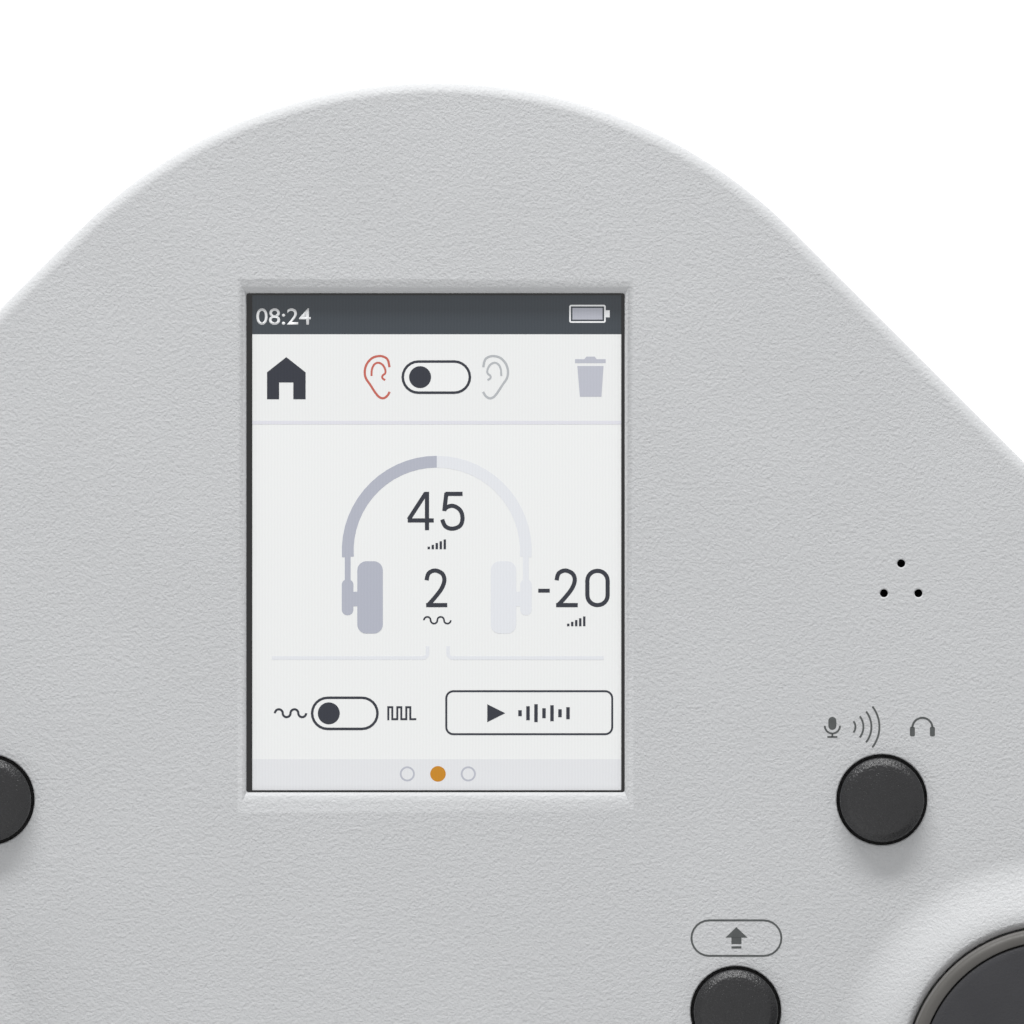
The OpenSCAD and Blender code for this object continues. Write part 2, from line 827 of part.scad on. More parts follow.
module shield_can() {
    can_w = 32;
    can_l = 24;
    color("silver") on_panel() translate([0, main_y + 26, 0])
        block(can_w, can_l, main_z, main_z + chip_h);
}

module key_board(side) {
    color("seagreen") on_panel() difference() {
        translate([side * knob_x, -knob_y, key_board_z - board_t]) linear_extrude(board_t)
            polygon([for (p = key_board_outline) beside(p, side)]);
        key_board_post_places() disc(board_screw_r + fit_gap, -reach, reach);
    }
}

// A step of ribbon from the main board's top face to the key board's
module side_ribbon(side) {
    inner = main_w / 2 - 4;
    bend = main_w / 2 + 0.5;
    outer = knob_x + key_board_in + 4;
    top = key_board_z;
    color("peru") on_panel() translate([0, side_ribbon_y, 0]) rotate([90, 0, 0])
        linear_extrude(board_ribbon_w) polygon([
            [side * inner, main_z], [side * (bend + ribbon_t), main_z],
            [side * (bend + ribbon_t), top], [side * outer, top],
            [side * outer, top + ribbon_t], [side * bend, top + ribbon_t],
            [side * bend, main_z + ribbon_t], [side * inner, main_z + ribbon_t]
        ]);
}

module socket_board() {
    color("seagreen")
        translate([0, plate_front - fit_gap - socket_board_l / 2, jack_board_z - board_t])
            block(bay_w - 2 * fit_gap, socket_board_l, 0, board_t);
}

// From the socket board up to the main board's top face
module socket_ribbon() {
    foot = plate_front - fit_gap - socket_board_l + 1;
    edge = panel_y + (main_y + main_l) * cos(tilt) - main_z * sin(tilt);
    far = edge - 4;
    bend = edge + (foot - edge) / 4;
    near_z = board_height(foot, -main_z) + 2 * ribbon_t;
    far_z = board_height(far, -main_z);
    bend_z = board_height(bend, -main_z);
    color("peru") rotate([90, 0, 90]) linear_extrude(board_ribbon_w, center = true) polygon([
        [foot, jack_board_z], [foot, near_z], [bend, bend_z + ribbon_t], [far, far_z + ribbon_t],
        [far, far_z], [bend, bend_z], [foot - ribbon_t, near_z - ribbon_t],
        [foot - ribbon_t, jack_board_z]
    ]);
}

// ---- Socket bay ----

module along_socket(x, z) {
    translate([x, plate_front, z]) rotate([-90, 0, 0]) children();
}

module jack(index) {
    color("black") along_socket(jack_x + index * jack_pitch, jack_z) difference() {
        union() {
            block(jack_w, jack_h, -jack_l, 0);
            disc(bush_r, -past, plate_t + bush_out);
        }
        disc(jack_bore_r, 2 - jack_l, reach);
    }
}

module jack_nuts() {
    color("silver") for (i = [0 : 3]) along_socket(jack_x + i * jack_pitch, jack_z)
        hex_nut(nut_af, bush_r, plate_t, plate_t + nut_t);
}

module data_port() {
    tongue_w = port_w - 2.4;
    color("silver") along_socket(port_x, port_z) {
        difference() {
            rotate([0, 0, 90]) stadium(port_h, port_w, plate_t - port_l, plate_t + port_t);
            rotate([0, 0, 90]) stadium(
                port_h - 2 * port_t, port_w - 2 * port_t, plate_t - port_l + 1, reach
            );
        }
        block(tongue_w, 0.7, plate_t - port_l + 0.5, plate_t - 0.6);
    }
}

// The socket plate follows the upper shell's inside
module rear_plate() {
    width = bay_w + 2 * (groove_d - fit_gap);
    color("dimgray") difference() {
        intersection() {
            translate([0, plate_y - plate_t / 2, 0]) block(width, plate_t, floor_z, reach);
            on_panel() case_prism(wall + fit_gap, -reach, -wall - fit_gap);
        }
        for (i = [0 : 3]) along_socket(jack_x + i * jack_pitch, jack_z)
            disc(bush_r + fit_gap / 2, -past, plate_t + past);
        along_socket(port_x, port_z) rotate([0, 0, 90])
            stadium(port_h + 2 * fit_gap, port_w + 2 * fit_gap, -past, plate_t + past);
    }
}

// ---- Battery ----

module battery_pack() {
    color("steelblue") translate([0, battery_y, floor_z]) difference() {
        block(battery_w, battery_l, 0, battery_h);
        for (s = SIDES) translate([s * battery_w / 2, 0, battery_h])
            rotate([0, 45, 0]) block(2, reach, -1, 1);
    }
}

module battery_contacts() {
    blade_w = 4;
    blade_t = 0.4;
    color("gold") for (i = [-1 : 1])
        translate([i * 10, battery_y - pen_l / 2 + blade_t / 2, ride_h + seat_h])
            block(blade_w, blade_t, 0, contact_h);
}

module door_screw_place() {
    translate([0, door_screw_y, ride_h]) children();
}

module battery_door() {
    color("gainsboro") difference() {
        translate([0, door_y, 0]) block(door_w, door_l, ride_h, ride_h + door_t);
        door_screw_place() {
            disc(screw_r + fit_gap, -past, door_t + past);
            disc(head_r + fit_gap, -past, head_h);
        }
    }
}

module door_screw() {
    color("silver") door_screw_place() screw(screw_r, head_r, door_screw_l, head_h);
}

// ---- Screws ----

// A pan-head screw whose head lies below z, with a cross in it
module screw(r, head, l, z) {
    slot_w = 0.7;
    difference() {
        union() {
            disc(head, z - head_h, z);
            disc(r, z - head_h / 2, z + l);
        }
        for (a = [0, 90]) rotate([0, 0, a])
            block(head * 1.2, slot_w, z - head_h - past, z - head_h / 2);
    }
}

module case_screws() {
    color("silver") on_panel() case_post_places() screw(screw_r, head_r, screw_l, seat_z);
}

module board_screws() {
    color("silver") on_panel() {
        key_board_post_places()
            screw(board_screw_r, board_head_r, board_screw_l, key_board_z - board_t);
        main_post_places() screw(board_screw_r, board_head_r, board_screw_l, main_z - board_t);
        ear_places() screw(board_screw_r, board_head_r, board_screw_l, frame_z - frame_t);
    }
}

top_shell();
bottom_shell();
rear_plate();
display_gasket();
touch_glass();
display_panel();
display_frame();
display_ribbon();
knob(-1);  // left_knob
knob(1);  // right_knob
knob_cap(-1);  // left_knob_cap
knob_cap(1);  // right_knob_cap
encoder_shaft(-1);  // left_encoder_shaft
encoder_shaft(1);  // right_encoder_shaft
encoder(-1);  // left_encoder
encoder(1);  // right_encoder
encoder_nut(-1);  // left_encoder_nut
encoder_nut(1);  // right_encoder_nut
round_key(talk_place);  // talk_button
round_key(function_place);  // function_button
round_key(power_place);  // power_button
stimulus_key(-1);  // left_stimulus_key
stimulus_key(1);  // right_stimulus_key
plunger(talk_place);  // talk_plunger
plunger(function_place);  // function_plunger
plunger(power_place);  // power_plunger
plunger([stimulus_a, -1]);  // left_stimulus_plunger
plunger([stimulus_a, 1]);  // right_stimulus_plunger
key_switches();
microphone();
microphone_boot();
main_board();
shield_can();
key_board(-1);  // left_key_board
key_board(1);  // right_key_board
side_ribbon(-1);  // left_ribbon
side_ribbon(1);  // right_ribbon
socket_board();
socket_ribbon();
jack(0);  // left_phones_jack
jack(1);  // right_phones_jack
jack(2);  // bone_jack
jack(3);  // response_jack
jack_nuts();
data_port();
battery_pack();
battery_contacts();
battery_door();
door_screw();
rubber_feet();
case_screws();
board_screws();
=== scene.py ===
import math

import bpy
from mathutils import Matrix, Vector


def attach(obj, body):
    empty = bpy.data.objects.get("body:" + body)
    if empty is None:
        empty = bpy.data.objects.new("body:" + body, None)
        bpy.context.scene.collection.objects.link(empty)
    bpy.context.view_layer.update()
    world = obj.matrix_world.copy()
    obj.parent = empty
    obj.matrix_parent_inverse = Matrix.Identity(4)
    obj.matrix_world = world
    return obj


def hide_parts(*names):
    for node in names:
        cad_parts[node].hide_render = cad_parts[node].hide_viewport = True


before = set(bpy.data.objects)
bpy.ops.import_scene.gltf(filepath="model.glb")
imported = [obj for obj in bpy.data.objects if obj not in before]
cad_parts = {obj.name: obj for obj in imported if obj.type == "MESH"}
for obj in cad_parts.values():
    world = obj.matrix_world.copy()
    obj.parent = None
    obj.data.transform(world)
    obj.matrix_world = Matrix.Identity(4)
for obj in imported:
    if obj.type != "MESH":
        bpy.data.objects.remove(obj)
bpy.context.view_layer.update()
print("frame loaded")

# Pieces are modelled in millimetres. Most stand in the panel's own frame, with the origin
# at the centre of the rear arc, +Y up the slope and +Z out of the panel.
console = {
    "rearR": 66.0, "cornerR": 54.0, "knobX": 80.5, "knobY": 63.5, "frontR": 650.0,
    "tilt": math.radians(8.0), "panelY": 25.8985, "panelZ": 39.1129,
    "wall": 2.5, "topDepth": 12.0, "edgeR": 1.6, "seamStep": 0.5, "draft": math.radians(3.0),
    "rideH": 3.0, "floorZ": 5.5, "baseDepth": 51.427,
}
mm = 0.001
full = 2 * math.pi
rowFromPanel = (
    Matrix.Translation((0, console["panelY"], console["panelZ"]))
    @ Matrix.Rotation(console["tilt"], 4, "X")
)


# Small helpers for modelling.

def toEdit(mode="VERT"):
    bpy.ops.object.mode_set(mode="EDIT")
    bpy.ops.mesh.select_mode(type=mode)


def toObject():
    bpy.ops.object.mode_set(mode="OBJECT")


def selectAll():
    bpy.ops.mesh.select_all(action="SELECT")


def deselect():
    bpy.ops.object.select_all(action="DESELECT")


def onlySelect(obj):
    deselect()
    obj.select_set(True)
    bpy.context.view_layer.objects.active = obj


def startPoint(point):
    deselect()
    bpy.ops.mesh.primitive_plane_add(size=1, location=(0, 0, 0))
    obj = bpy.context.active_object
    toEdit()
    selectAll()
    bpy.ops.mesh.merge(type="CENTER")
    bpy.ops.transform.translate(value=point)
    return obj


def drawOn(step):
    bpy.ops.mesh.extrude_region_move(TRANSFORM_OT_translate={"value": step})


def swing(centre, angle, steps, axis=(0, 0, -1)):  # anticlockwise about +Z
    bpy.ops.mesh.spin(steps=steps, angle=angle, center=centre, axis=axis)


def clearPicks(mesh):
    for part in (*mesh.vertices, *mesh.edges, *mesh.polygons):
        part.select = False


def pickFaces(obj, test):
    toObject()
    clearPicks(obj.data)
    for face in obj.data.polygons:
        face.select = test(face.center, face.normal)
    toEdit("FACE")


def pickEdges(obj, test):
    toObject()
    mesh = obj.data
    clearPicks(mesh)
    for edge in mesh.edges:
        a, b = (mesh.vertices[i].co for i in edge.vertices)
        edge.select = test(a, b)
    toEdit("EDGE")


def pickLevel(obj, level):  # the edges that lie at one height
    pickEdges(obj, lambda a, b: abs(a.z - level) < 0.01 and abs(b.z - level) < 0.01)


def pickUpright(obj):
    pickEdges(obj, lambda a, b: abs(a.z - b.z) > 0.1)


def bevelEdges(width, segments):
    bpy.ops.mesh.bevel(offset=width, segments=segments, affect="EDGES", clamp_overlap=False)


def applyModifier(obj, kind, **settings):
    onlySelect(obj)
    modifier = obj.modifiers.new(kind.title(), kind)
    for key, value in settings.items():
        setattr(modifier, key, value)
    bpy.ops.object.modifier_apply(modifier=modifier.name)


def combine(obj, other, operation):
    applyModifier(obj, "BOOLEAN", object=other, operation=operation, solver="EXACT")
    bpy.data.objects.remove(other)


def applyPlace(obj):
    onlySelect(obj)
    bpy.ops.object.transform_apply(location=True, rotation=True, scale=True)


def at(obj, place, degrees=0.0):
    obj.location = place
    obj.rotation_euler = (0, 0, math.radians(degrees))
    applyPlace(obj)
    return obj


def duplicate(obj):
    onlySelect(obj)
    bpy.ops.object.duplicate(linked=False)
    return bpy.context.active_object


def joined(objects):
    onlySelect(objects[0])
    for obj in objects[1:]:
        obj.select_set(True)
    if len(objects) > 1:
        bpy.ops.object.join()
    return objects[0]


def moved(obj, matrix):
    bpy.context.view_layer.update()
    obj.matrix_world = matrix @ obj.matrix_world
    applyPlace(obj)
    return obj


def closeUp(obj):
    toEdit()
    selectAll()
    bpy.ops.mesh.remove_doubles(threshold=0.0005)
    bpy.ops.mesh.normals_make_consistent(inside=False)
    toObject()
    return obj


def turned(profile, steps=96):  # spins a profile of (r, z) points about the Z axis
    r, z = profile[0]
    onAxis = profile[0][0] == 0 and profile[-1][0] == 0
    obj = startPoint((r, 0, z))
    points = profile[1:] + ([] if onAxis else [profile[0]])
    for nextR, nextZ in points:
        drawOn((nextR - r, 0, nextZ - z))
        r, z = nextR, nextZ
    selectAll()
    bpy.ops.mesh.remove_doubles(threshold=0.0001)
    selectAll()
    swing((0, 0, 0), full, steps)
    return closeUp(obj)


def around(radius, degrees):
    return radius * math.cos(math.radians(degrees)), radius * math.sin(math.radians(degrees))


def roundedTurn(centreR, centreZ, radius, start, end, steps=5):
    points = [around(radius, start + (end - start) * i / steps) for i in range(steps + 1)]
    return [(centreR + r, centreZ + z) for r, z in points]


def rod(radius, low, high, steps=48):
    deselect()
    bpy.ops.mesh.primitive_cylinder_add(
        vertices=steps, radius=radius, depth=high - low, location=(0, 0, (low + high) / 2)
    )
    obj = bpy.context.active_object
    applyPlace(obj)
    return obj


def box(lowCorner, highCorner):
    size = [b - a for a, b in zip(lowCorner, highCorner)]
    centre = [(a + b) / 2 for a, b in zip(lowCorner, highCorner)]
    deselect()
    bpy.ops.mesh.primitive_cube_add(size=1, location=centre, scale=size)
    obj = bpy.context.active_object
    applyPlace(obj)
    return obj


def smooth(obj, degrees=32, weighted=False):
    onlySelect(obj)
    bpy.ops.object.shade_smooth_by_angle(angle=math.radians(degrees))
    if weighted:
        applyModifier(obj, "WEIGHTED_NORMAL", mode="FACE_AREA", weight=100, keep_sharp=True)


def finishPiece(obj, name, body, finish=None, node=None, onPanel=True):
    matrix = Matrix.Scale(mm, 4) @ (rowFromPanel if onPanel else Matrix.Identity(4))
    moved(obj, matrix)
    obj.name = name
    obj.data.name = name
    if finish:
        obj.data.materials.append(materials[finish])
    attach(obj, body)
    if node:
        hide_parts(node)


keyCircle = {"r": 42.0, "talk": 121.8, "function": 169, "stimulus": 216}


def keyPlace(key, side=1):  # the keys stand on a circle round their knob
    x, y = around(keyCircle["r"], keyCircle[key])
    return Vector((side * (console["knobX"] + x), y - console["knobY"], 0))


knobPlaces = {
    "right": Vector((console["knobX"], -console["knobY"], 0)),
    "left": Vector((-console["knobX"], -console["knobY"], 0)),
}
roundKeyPlaces = {
    "talk": keyPlace("talk"), "function": keyPlace("function"), "power": keyPlace("talk", -1),
}


# The two shells.

sideAngle = (
    math.acos(
        (console["rearR"] - console["cornerR"]) / math.hypot(console["knobX"], console["knobY"])
    ) - math.atan2(console["knobY"], console["knobX"])
)
frontReach = console["frontR"] - console["cornerR"]
frontHalf = math.asin(console["knobX"] / frontReach)
frontCentre = frontReach * math.cos(frontHalf) - console["knobY"]
shell = {
    "rearSteps": 48, "cornerSteps": 64, "frontSteps": 20, "edgeSteps": 9, "lipRound": 0.25,
    "cutLow": -4.0, "cutHigh": 5.0, "smoothTo": 34,
}


def traceOutline(inset, z):  # three arcs, two straight sides and the bowed front
    rear = console["rearR"] - inset
    corner = console["cornerR"] - inset
    kx, ky = console["knobX"], console["knobY"]
    cosine, sine = math.cos(sideAngle), math.sin(sideAngle)
    obj = startPoint((rear * cosine, rear * sine, z))
    swing((0, 0, z), math.pi - 2 * sideAngle, shell["rearSteps"])
    side = ((corner - rear) * cosine + kx, (corner - rear) * sine - ky)
    drawOn((-side[0], side[1], 0))
    quarter = math.pi / 2 - frontHalf + sideAngle
    swing((-kx, -ky, z), quarter, shell["cornerSteps"])
    swing((0, frontCentre, z), 2 * frontHalf, shell["frontSteps"])
    swing((kx, -ky, z), quarter, shell["cornerSteps"])
    drawOn((-side[0], -side[1], 0))
    selectAll()
    bpy.ops.mesh.remove_doubles(threshold=0.001)
    return obj


def outlineSlab(inset, low, high):
    obj = traceOutline(inset, low)
    selectAll()
    bpy.ops.mesh.edge_face_add()
    drawOn((0, 0, high - low))
    return closeUp(obj)


def draftedBody(inset, tableZ, rise=0.0):  # the lower shell's form, cut level at tableZ
    deep = console["baseDepth"]
    top = rise - console["topDepth"]
    slope = math.tan(console["draft"])
    upper = traceOutline(console["seamStep"] + inset - rise * slope, top)
    toObject()
    lowerInset = console["seamStep"] + inset + (deep - console["topDepth"]) * slope
    lower = traceOutline(lowerInset, -deep)
    toObject()
    obj = joined([upper, lower])
    toEdit("EDGE")
    selectAll()
    bpy.ops.mesh.bridge_edge_loops()
    for level in (top, -deep):
        pickLevel(obj, level)
        bpy.ops.mesh.edge_face_add()
    closeUp(obj)
    moved(obj, rowFromPanel)
    toEdit()
    selectAll()
    bpy.ops.mesh.bisect(
        plane_co=(0, 0, tableZ), plane_no=(0, 0, 1), use_fill=True, clear_inner=True
    )
    return closeUp(obj)


display = {
    "y": 5.8, "openingW": 49.5, "openingH": 65.3, "bevelRear": 1.8, "bevelFront": 2.6,
    "bevelSide": 1.1, "bevelD": 0.75, "lipRound": 0.4, "lip": 1.2,
    "cornerRound": 0.3, "glassW": 55.1, "glassH": 70.9, "glassT": 1.1, "glassZ": -1.7,
    "glassGap": 0.2,
}


def displayCutter():  # widens in three steps, the last one just under the panel's face
    halfW, halfH = display["openingW"] / 2, display["openingH"] / 2
    deep = display["bevelD"]
    obj = box((-halfW, -halfH, shell["cutLow"]), (halfW, halfH, -deep))
    w, h, y, z = halfW, halfH, 0, -deep
    for nextZ, share in ((-0.22, 0.5), (0.04, 1.12), (1.0, 1.12)):
        rear, front = display["bevelRear"] * share, display["bevelFront"] * share
        nextW, nextH = halfW + display["bevelSide"] * share, halfH + (rear + front) / 2
        nextY = (rear - front) / 2
        pickFaces(obj, lambda c, n: n.z > 0.9)
        drawOn((0, nextY - y, nextZ - z))
        bpy.ops.transform.resize(value=(nextW / w, nextH / h, 1))
        w, h, y, z = nextW, nextH, nextY, nextZ
    pickLevel(obj, -deep)
    bevelEdges(display["lipRound"], 4)
    pickEdges(obj, lambda a, b: abs(a.x - b.x) < 0.01 and abs(a.y - b.y) < 0.01)
    bevelEdges(display["cornerRound"], 3)
    toObject()
    return at(obj, (0, display["y"], 0))


def roundBar(place, degrees, width, length, low, high):  # a bar with round ends
    obj = box((-width / 2, -length / 2, low), (width / 2, length / 2, high))
    pickUpright(obj)
    bevelEdges(width / 2 - 0.001, 16)
    toObject()
    return at(closeUp(obj), place, degrees)





collar = {
    "wellR": 19.25, "wellD": 0.8, "bushR": 4.7, "crest": 1.0, "width": 9.55, "height": 3.0,
    "steps": 28, "lean": 0.8, "innerR": 0.9, "foot": -1.2,
}


def collarRing():
    wellR, height, steps = collar["wellR"], collar["height"], collar["steps"]
    start, fall = wellR + collar["crest"], collar["width"] - collar["crest"]
    profile = [(wellR - 1, collar["foot"]), (wellR - 1, height)]
    profile += [
        (start + fall * i / steps,
         height * (1 + math.cos(math.pi * (i / steps) ** collar["lean"])) / 2)
        for i in range(steps + 1)
    ]
    profile[-1] = (start + fall, -0.0005)
    return turned(profile + [(start + fall, collar["foot"])], steps=160)


def wellCutter():  # the knob's well, and the hole for its bushing
    wellR, lip, bushR = collar["wellR"], collar["innerR"], collar["bushR"]
    floor, height = -collar["wellD"], collar["height"]
    outer = wellR + lip + 0.05
    return turned(
        [(0, shell["cutLow"]), (bushR, shell["cutLow"]), (bushR, floor), (wellR, floor)]
        + roundedTurn(wellR + lip, height - lip, lip, 180, 96, 8)
        + [(outer, height + 0.1), (outer, height + 1), (0, height + 1)],
        steps=120,
    )


def holeCutter(radius, chamfer, steps=64):  # its chamfer crosses the panel's face at a slant
    rise, low, high = 0.3, shell["cutLow"], shell["cutHigh"]
    wide = radius + chamfer + rise
    return turned(
        [(0, low), (radius, low), (radius, -chamfer), (wide, rise), (wide, high), (0, high)],
        steps=steps,
    )


soundHoles = {"x": 60.9, "y": 0.5, "r": 0.53, "ring": 2.6, "chamfer": 0.14}
keyHole = {"r": 5.95, "chamfer": 0.12}
stimulusKey = {
    "width": 9.0, "length": 22.0, "height": 2.6, "round": 0.9, "gap": 0.45, "flange": 1.5,
}


def makeUpperShell():
    depth = console["topDepth"]
    obj = outlineSlab(0, -depth, 0)
    pickLevel(obj, 0)
    bevelEdges(console["edgeR"], shell["edgeSteps"])
    pickLevel(obj, -depth)
    bevelEdges(shell["lipRound"], 2)
    closeUp(obj)
    combine(obj, outlineSlab(console["wall"], -depth - 1, -console["wall"]), "DIFFERENCE")
    ring = collarRing()
    rings = [at(duplicate(ring), place) for place in knobPlaces.values()]
    bpy.data.objects.remove(ring)
    combine(obj, joined(rings), "UNION")
    cutters = [at(wellCutter(), place) for place in knobPlaces.values()]
    cutters.append(displayCutter())
    cutters += [
        at(holeCutter(keyHole["r"], keyHole["chamfer"]), place)
        for place in roundKeyPlaces.values()
    ]
    for side in (-1, 1):
        cutters.append(roundBar(
            keyPlace("stimulus", side), side * keyCircle["stimulus"],
            stimulusKey["width"] + 2 * stimulusKey["gap"],
            stimulusKey["length"] + 2 * stimulusKey["gap"], shell["cutLow"], shell["cutHigh"],
        ))
    for degrees in (90, 210, 330):
        x, y = around(soundHoles["ring"], degrees)
        cutter = holeCutter(soundHoles["r"], soundHoles["chamfer"], 24)
        cutters.append(at(cutter, (soundHoles["x"] + x, soundHoles["y"] + y, 0)))
    combine(obj, joined(cutters), "DIFFERENCE")
    halfW = display["glassW"] / 2 + display["glassGap"]
    halfH = display["glassH"] / 2 + display["glassGap"]
    low, high = display["y"] - halfH, display["y"] + halfH
    seatBox = box((-halfW, low, shell["cutLow"]), (halfW, high, -display["lip"]))
    combine(obj, seatBox, "DIFFERENCE")
    smooth(obj, shell["smoothTo"], weighted=True)
    return obj


bay = {
    "halfW": 38.0, "wallT": 3.0, "front": 73.35, "plate": 76.35, "reach": 120.0,
    "wallLow": 3.5, "wallTop": 60.0, "cutReach": 130.0, "cutTop": 80.0,
}
casePosts = [(28, -107.5), (112, -80), (62, 20)]
seat = {"postR": 3.5, "postZ": -14.2, "headR": 2.9, "headZ": -17.2, "screwR": 1.45}
battery = {
    "y": 15.849, "halfW": 33.0, "halfL": 30.5, "recess": 2.2, "rim": 3.0, "rimLow": 3.5,
    "rimTop": 7.5, "screwY": -10.1515, "gap": 0.2, "doorT": 2.0, "cornerR": 0.6, "edgeR": 0.3,
    "headR": 2.9, "headD": 1.6, "grooveW": 1.2, "grooveL": 22.0, "groovePitch": 2.4,
}
feet = {"r": 6.0, "round": 1.0, "depth": 4.0, "gap": 0.1, "edge": 0.1}
footPlaces = [
    (side * x, y, 0) for side in (-1, 1) for x, y in ((84.0, -37.6015), (42.0, 53.3485))
]


def batteryBox(grow, low, high):
    halfW, halfL = battery["halfW"] + grow, battery["halfL"] + grow
    return box((-halfW, battery["y"] - halfL, low), (halfW, battery["y"] + halfL, high))


def makeLowerShell():
    obj = draftedBody(0, console["rideH"])
    combine(obj, draftedBody(console["wall"], console["floorZ"], rise=1.0), "DIFFERENCE")
    extras = []
    for side in (-1, 1):
        low, high = sorted((side * bay["halfW"], side * (bay["halfW"] + bay["wallT"])))
        extras.append(box(
            (low, bay["front"], bay["wallLow"]), (high, bay["reach"], bay["wallTop"])
        ))
        for x, y in casePosts:
            post = at(rod(seat["postR"], -60, seat["postZ"], 32), (side * x, y, 0))
            extras.append(moved(post, rowFromPanel))
    gap = battery["gap"]
    extras.append(batteryBox(battery["rim"] + gap, battery["rimLow"], battery["rimTop"]))
    extras = joined(extras)
    combine(extras, draftedBody(0.6, console["rideH"] + 0.3), "INTERSECT")
    combine(obj, extras, "UNION")
    bayBox = box(
        (-bay["halfW"], bay["plate"], console["floorZ"]),
        (bay["halfW"], bay["cutReach"], bay["cutTop"]),
    )
    combine(obj, bayBox, "DIFFERENCE")
    cutters = [batteryBox(gap, 0, console["rideH"] + battery["recess"])]
    for side in (-1, 1):
        for x, y in casePosts:
            cutter = turned([
                (0, -60), (seat["headR"], -60), (seat["headR"], seat["headZ"]),
                (seat["screwR"], seat["headZ"]), (seat["screwR"], -10), (0, -10),
            ], steps=40)
            cutters.append(moved(at(cutter, (side * x, y, 0)), rowFromPanel))
    for place in footPlaces:
        cutters.append(at(rod(feet["r"] + feet["gap"], 0, feet["depth"]), place))
    combine(obj, joined(cutters), "DIFFERENCE")
    smooth(obj, shell["smoothTo"], weighted=True)
    return obj


# Materials. Every pattern reads Object coordinates, in metres.

def newMaterial(name):
    material = bpy.data.materials.new(name)
    material.use_nodes = True
    tree = material.node_tree
    place = tree.nodes.new("ShaderNodeTexCoord").outputs["Object"]
    return material, tree, tree.nodes["Principled BSDF"], place


def setInputs(node, values):
    for name, value in values.items():
        node.inputs[name].default_value = value


def addNode(tree, kind, values, feeds):
    node = tree.nodes.new("ShaderNode" + kind)
    setInputs(node, values)
    for name, source in feeds.items():
        tree.links.new(source, node.inputs[name])
    return node


def noiseNode(tree, vector, scale, detail=3.0, roughness=0.5):
    values = {"Scale": scale, "Detail": detail, "Roughness": roughness}
    return addNode(tree, "TexNoise", values, {"Vector": vector}).outputs["Fac"]


def rangeNode(tree, value, low, high):
    values = {"From Min": 0.3, "From Max": 0.7, "To Min": low, "To Max": high}
    return addNode(tree, "MapRange", values, {"Value": value}).outputs["Result"]


def twoColours(tree, value, colour, darker, lighter, fromLow=0.35, fromHigh=0.65):
    ramp = addNode(tree, "ValToRGB", {}, {"Fac": value})
    first, second = ramp.color_ramp.elements
    first.position, first.color = fromLow, linear(shaded(colour, -darker))
    second.position, second.color = fromHigh, linear(shaded(colour, lighter))
    return ramp.outputs["Color"]


def bumpNode(tree, height, depthMm, strength, below=None):
    feeds = {"Height": height} if below is None else {"Height": height, "Normal": below}
    values = {"Strength": strength, "Distance": depthMm * mm}
    return addNode(tree, "Bump", values, feeds).outputs["Normal"]


def linear(colour):  # from the 0-255 values that a screen shows
    parts = [value / 255 for value in colour]
    return [
        value / 12.92 if value < 0.04045 else ((value + 0.055) / 1.055) ** 2.4
        for value in parts
    ] + [1.0]


def shaded(colour, change):
    return tuple(max(0, min(255, value + change)) for value in colour)


def grained(name, options):  # moulded plastic, rubber, glass or ink with a fine grain
    material, tree, shader, place = newMaterial(name)
    spread = options.get("spread", 5)
    blotch = noiseNode(tree, place, 1 / (options.get("blotchMm", 12) * mm), 2)
    tint = twoColours(tree, blotch, options["colour"], spread, spread)
    grain = noiseNode(tree, place, 1 / (options["grainMm"] * mm), 3, 0.6)
    rough = rangeNode(tree, grain, *options["roughness"])
    normal = bumpNode(tree, grain, options["depthMm"], options.get("strength", 0.5))
    if "cellMm" in options:  # the closed cells of a leather-like tool finish
        cells = addNode(tree, "TexVoronoi", {}, {"Vector": place})
        cells.feature = "SMOOTH_F1"
        setInputs(cells, {"Scale": 1 / (options["cellMm"] * mm), "Smoothness": 0.6})
        depth, strength = options["cellDepthMm"], options["cellStrength"]
        normal = bumpNode(tree, cells.outputs["Distance"], depth, strength, normal)
    tree.links.new(tint, shader.inputs["Base Color"])
    tree.links.new(rough, shader.inputs["Roughness"])
    tree.links.new(normal, shader.inputs["Normal"])
    setInputs(shader, {
        "Specular IOR Level": options.get("specular", 0.5),
        "Diffuse Roughness": options.get("matt", 0.0),
    })
    return material


def brushed(name, options):  # metal with fine turning or drawing lines
    material, tree, shader, place = newMaterial(name)
    mapping = addNode(tree, "Mapping", {"Scale": options["stretch"]}, {"Vector": place})
    lines = noiseNode(tree, mapping.outputs["Vector"], 1 / (options["lineMm"] * mm), 2)
    tint = twoColours(tree, lines, options["colour"], 12, 10)
    tree.links.new(tint, shader.inputs["Base Color"])
    tree.links.new(rangeNode(tree, lines, 0.22, 0.42), shader.inputs["Roughness"])
    tree.links.new(bumpNode(tree, lines, 0.01, 0.35), shader.inputs["Normal"])
    setInputs(shader, {"Metallic": 1.0})
    return material


boardLook = {
    "resist": (22, 92, 58), "resistLight": (26, 102, 64), "track": (48, 132, 84),
    "trackScale": 260.0, "trackWidth": 0.03, "grainScale": 900.0,
}


def boardMaterial(name):
    material, tree, shader, place = newMaterial(name)
    tracks = addNode(tree, "TexBrick", {
        "Scale": boardLook["trackScale"], "Mortar Size": boardLook["trackWidth"],
        "Color1": linear(boardLook["resist"]), "Color2": linear(boardLook["resistLight"]),
        "Mortar": linear(boardLook["track"]),
    }, {"Vector": place})
    grain = noiseNode(tree, place, boardLook["grainScale"])
    tree.links.new(tracks.outputs["Color"], shader.inputs["Base Color"])
    tree.links.new(rangeNode(tree, grain, 0.25, 0.45), shader.inputs["Roughness"])
    tree.links.new(bumpNode(tree, tracks.outputs["Fac"], 0.04, 0.5), shader.inputs["Normal"])
    return material


imageLook = {"glow": 0.1, "spread": 1.5, "columnMm": 0.405, "smudgeScale": 60.0}


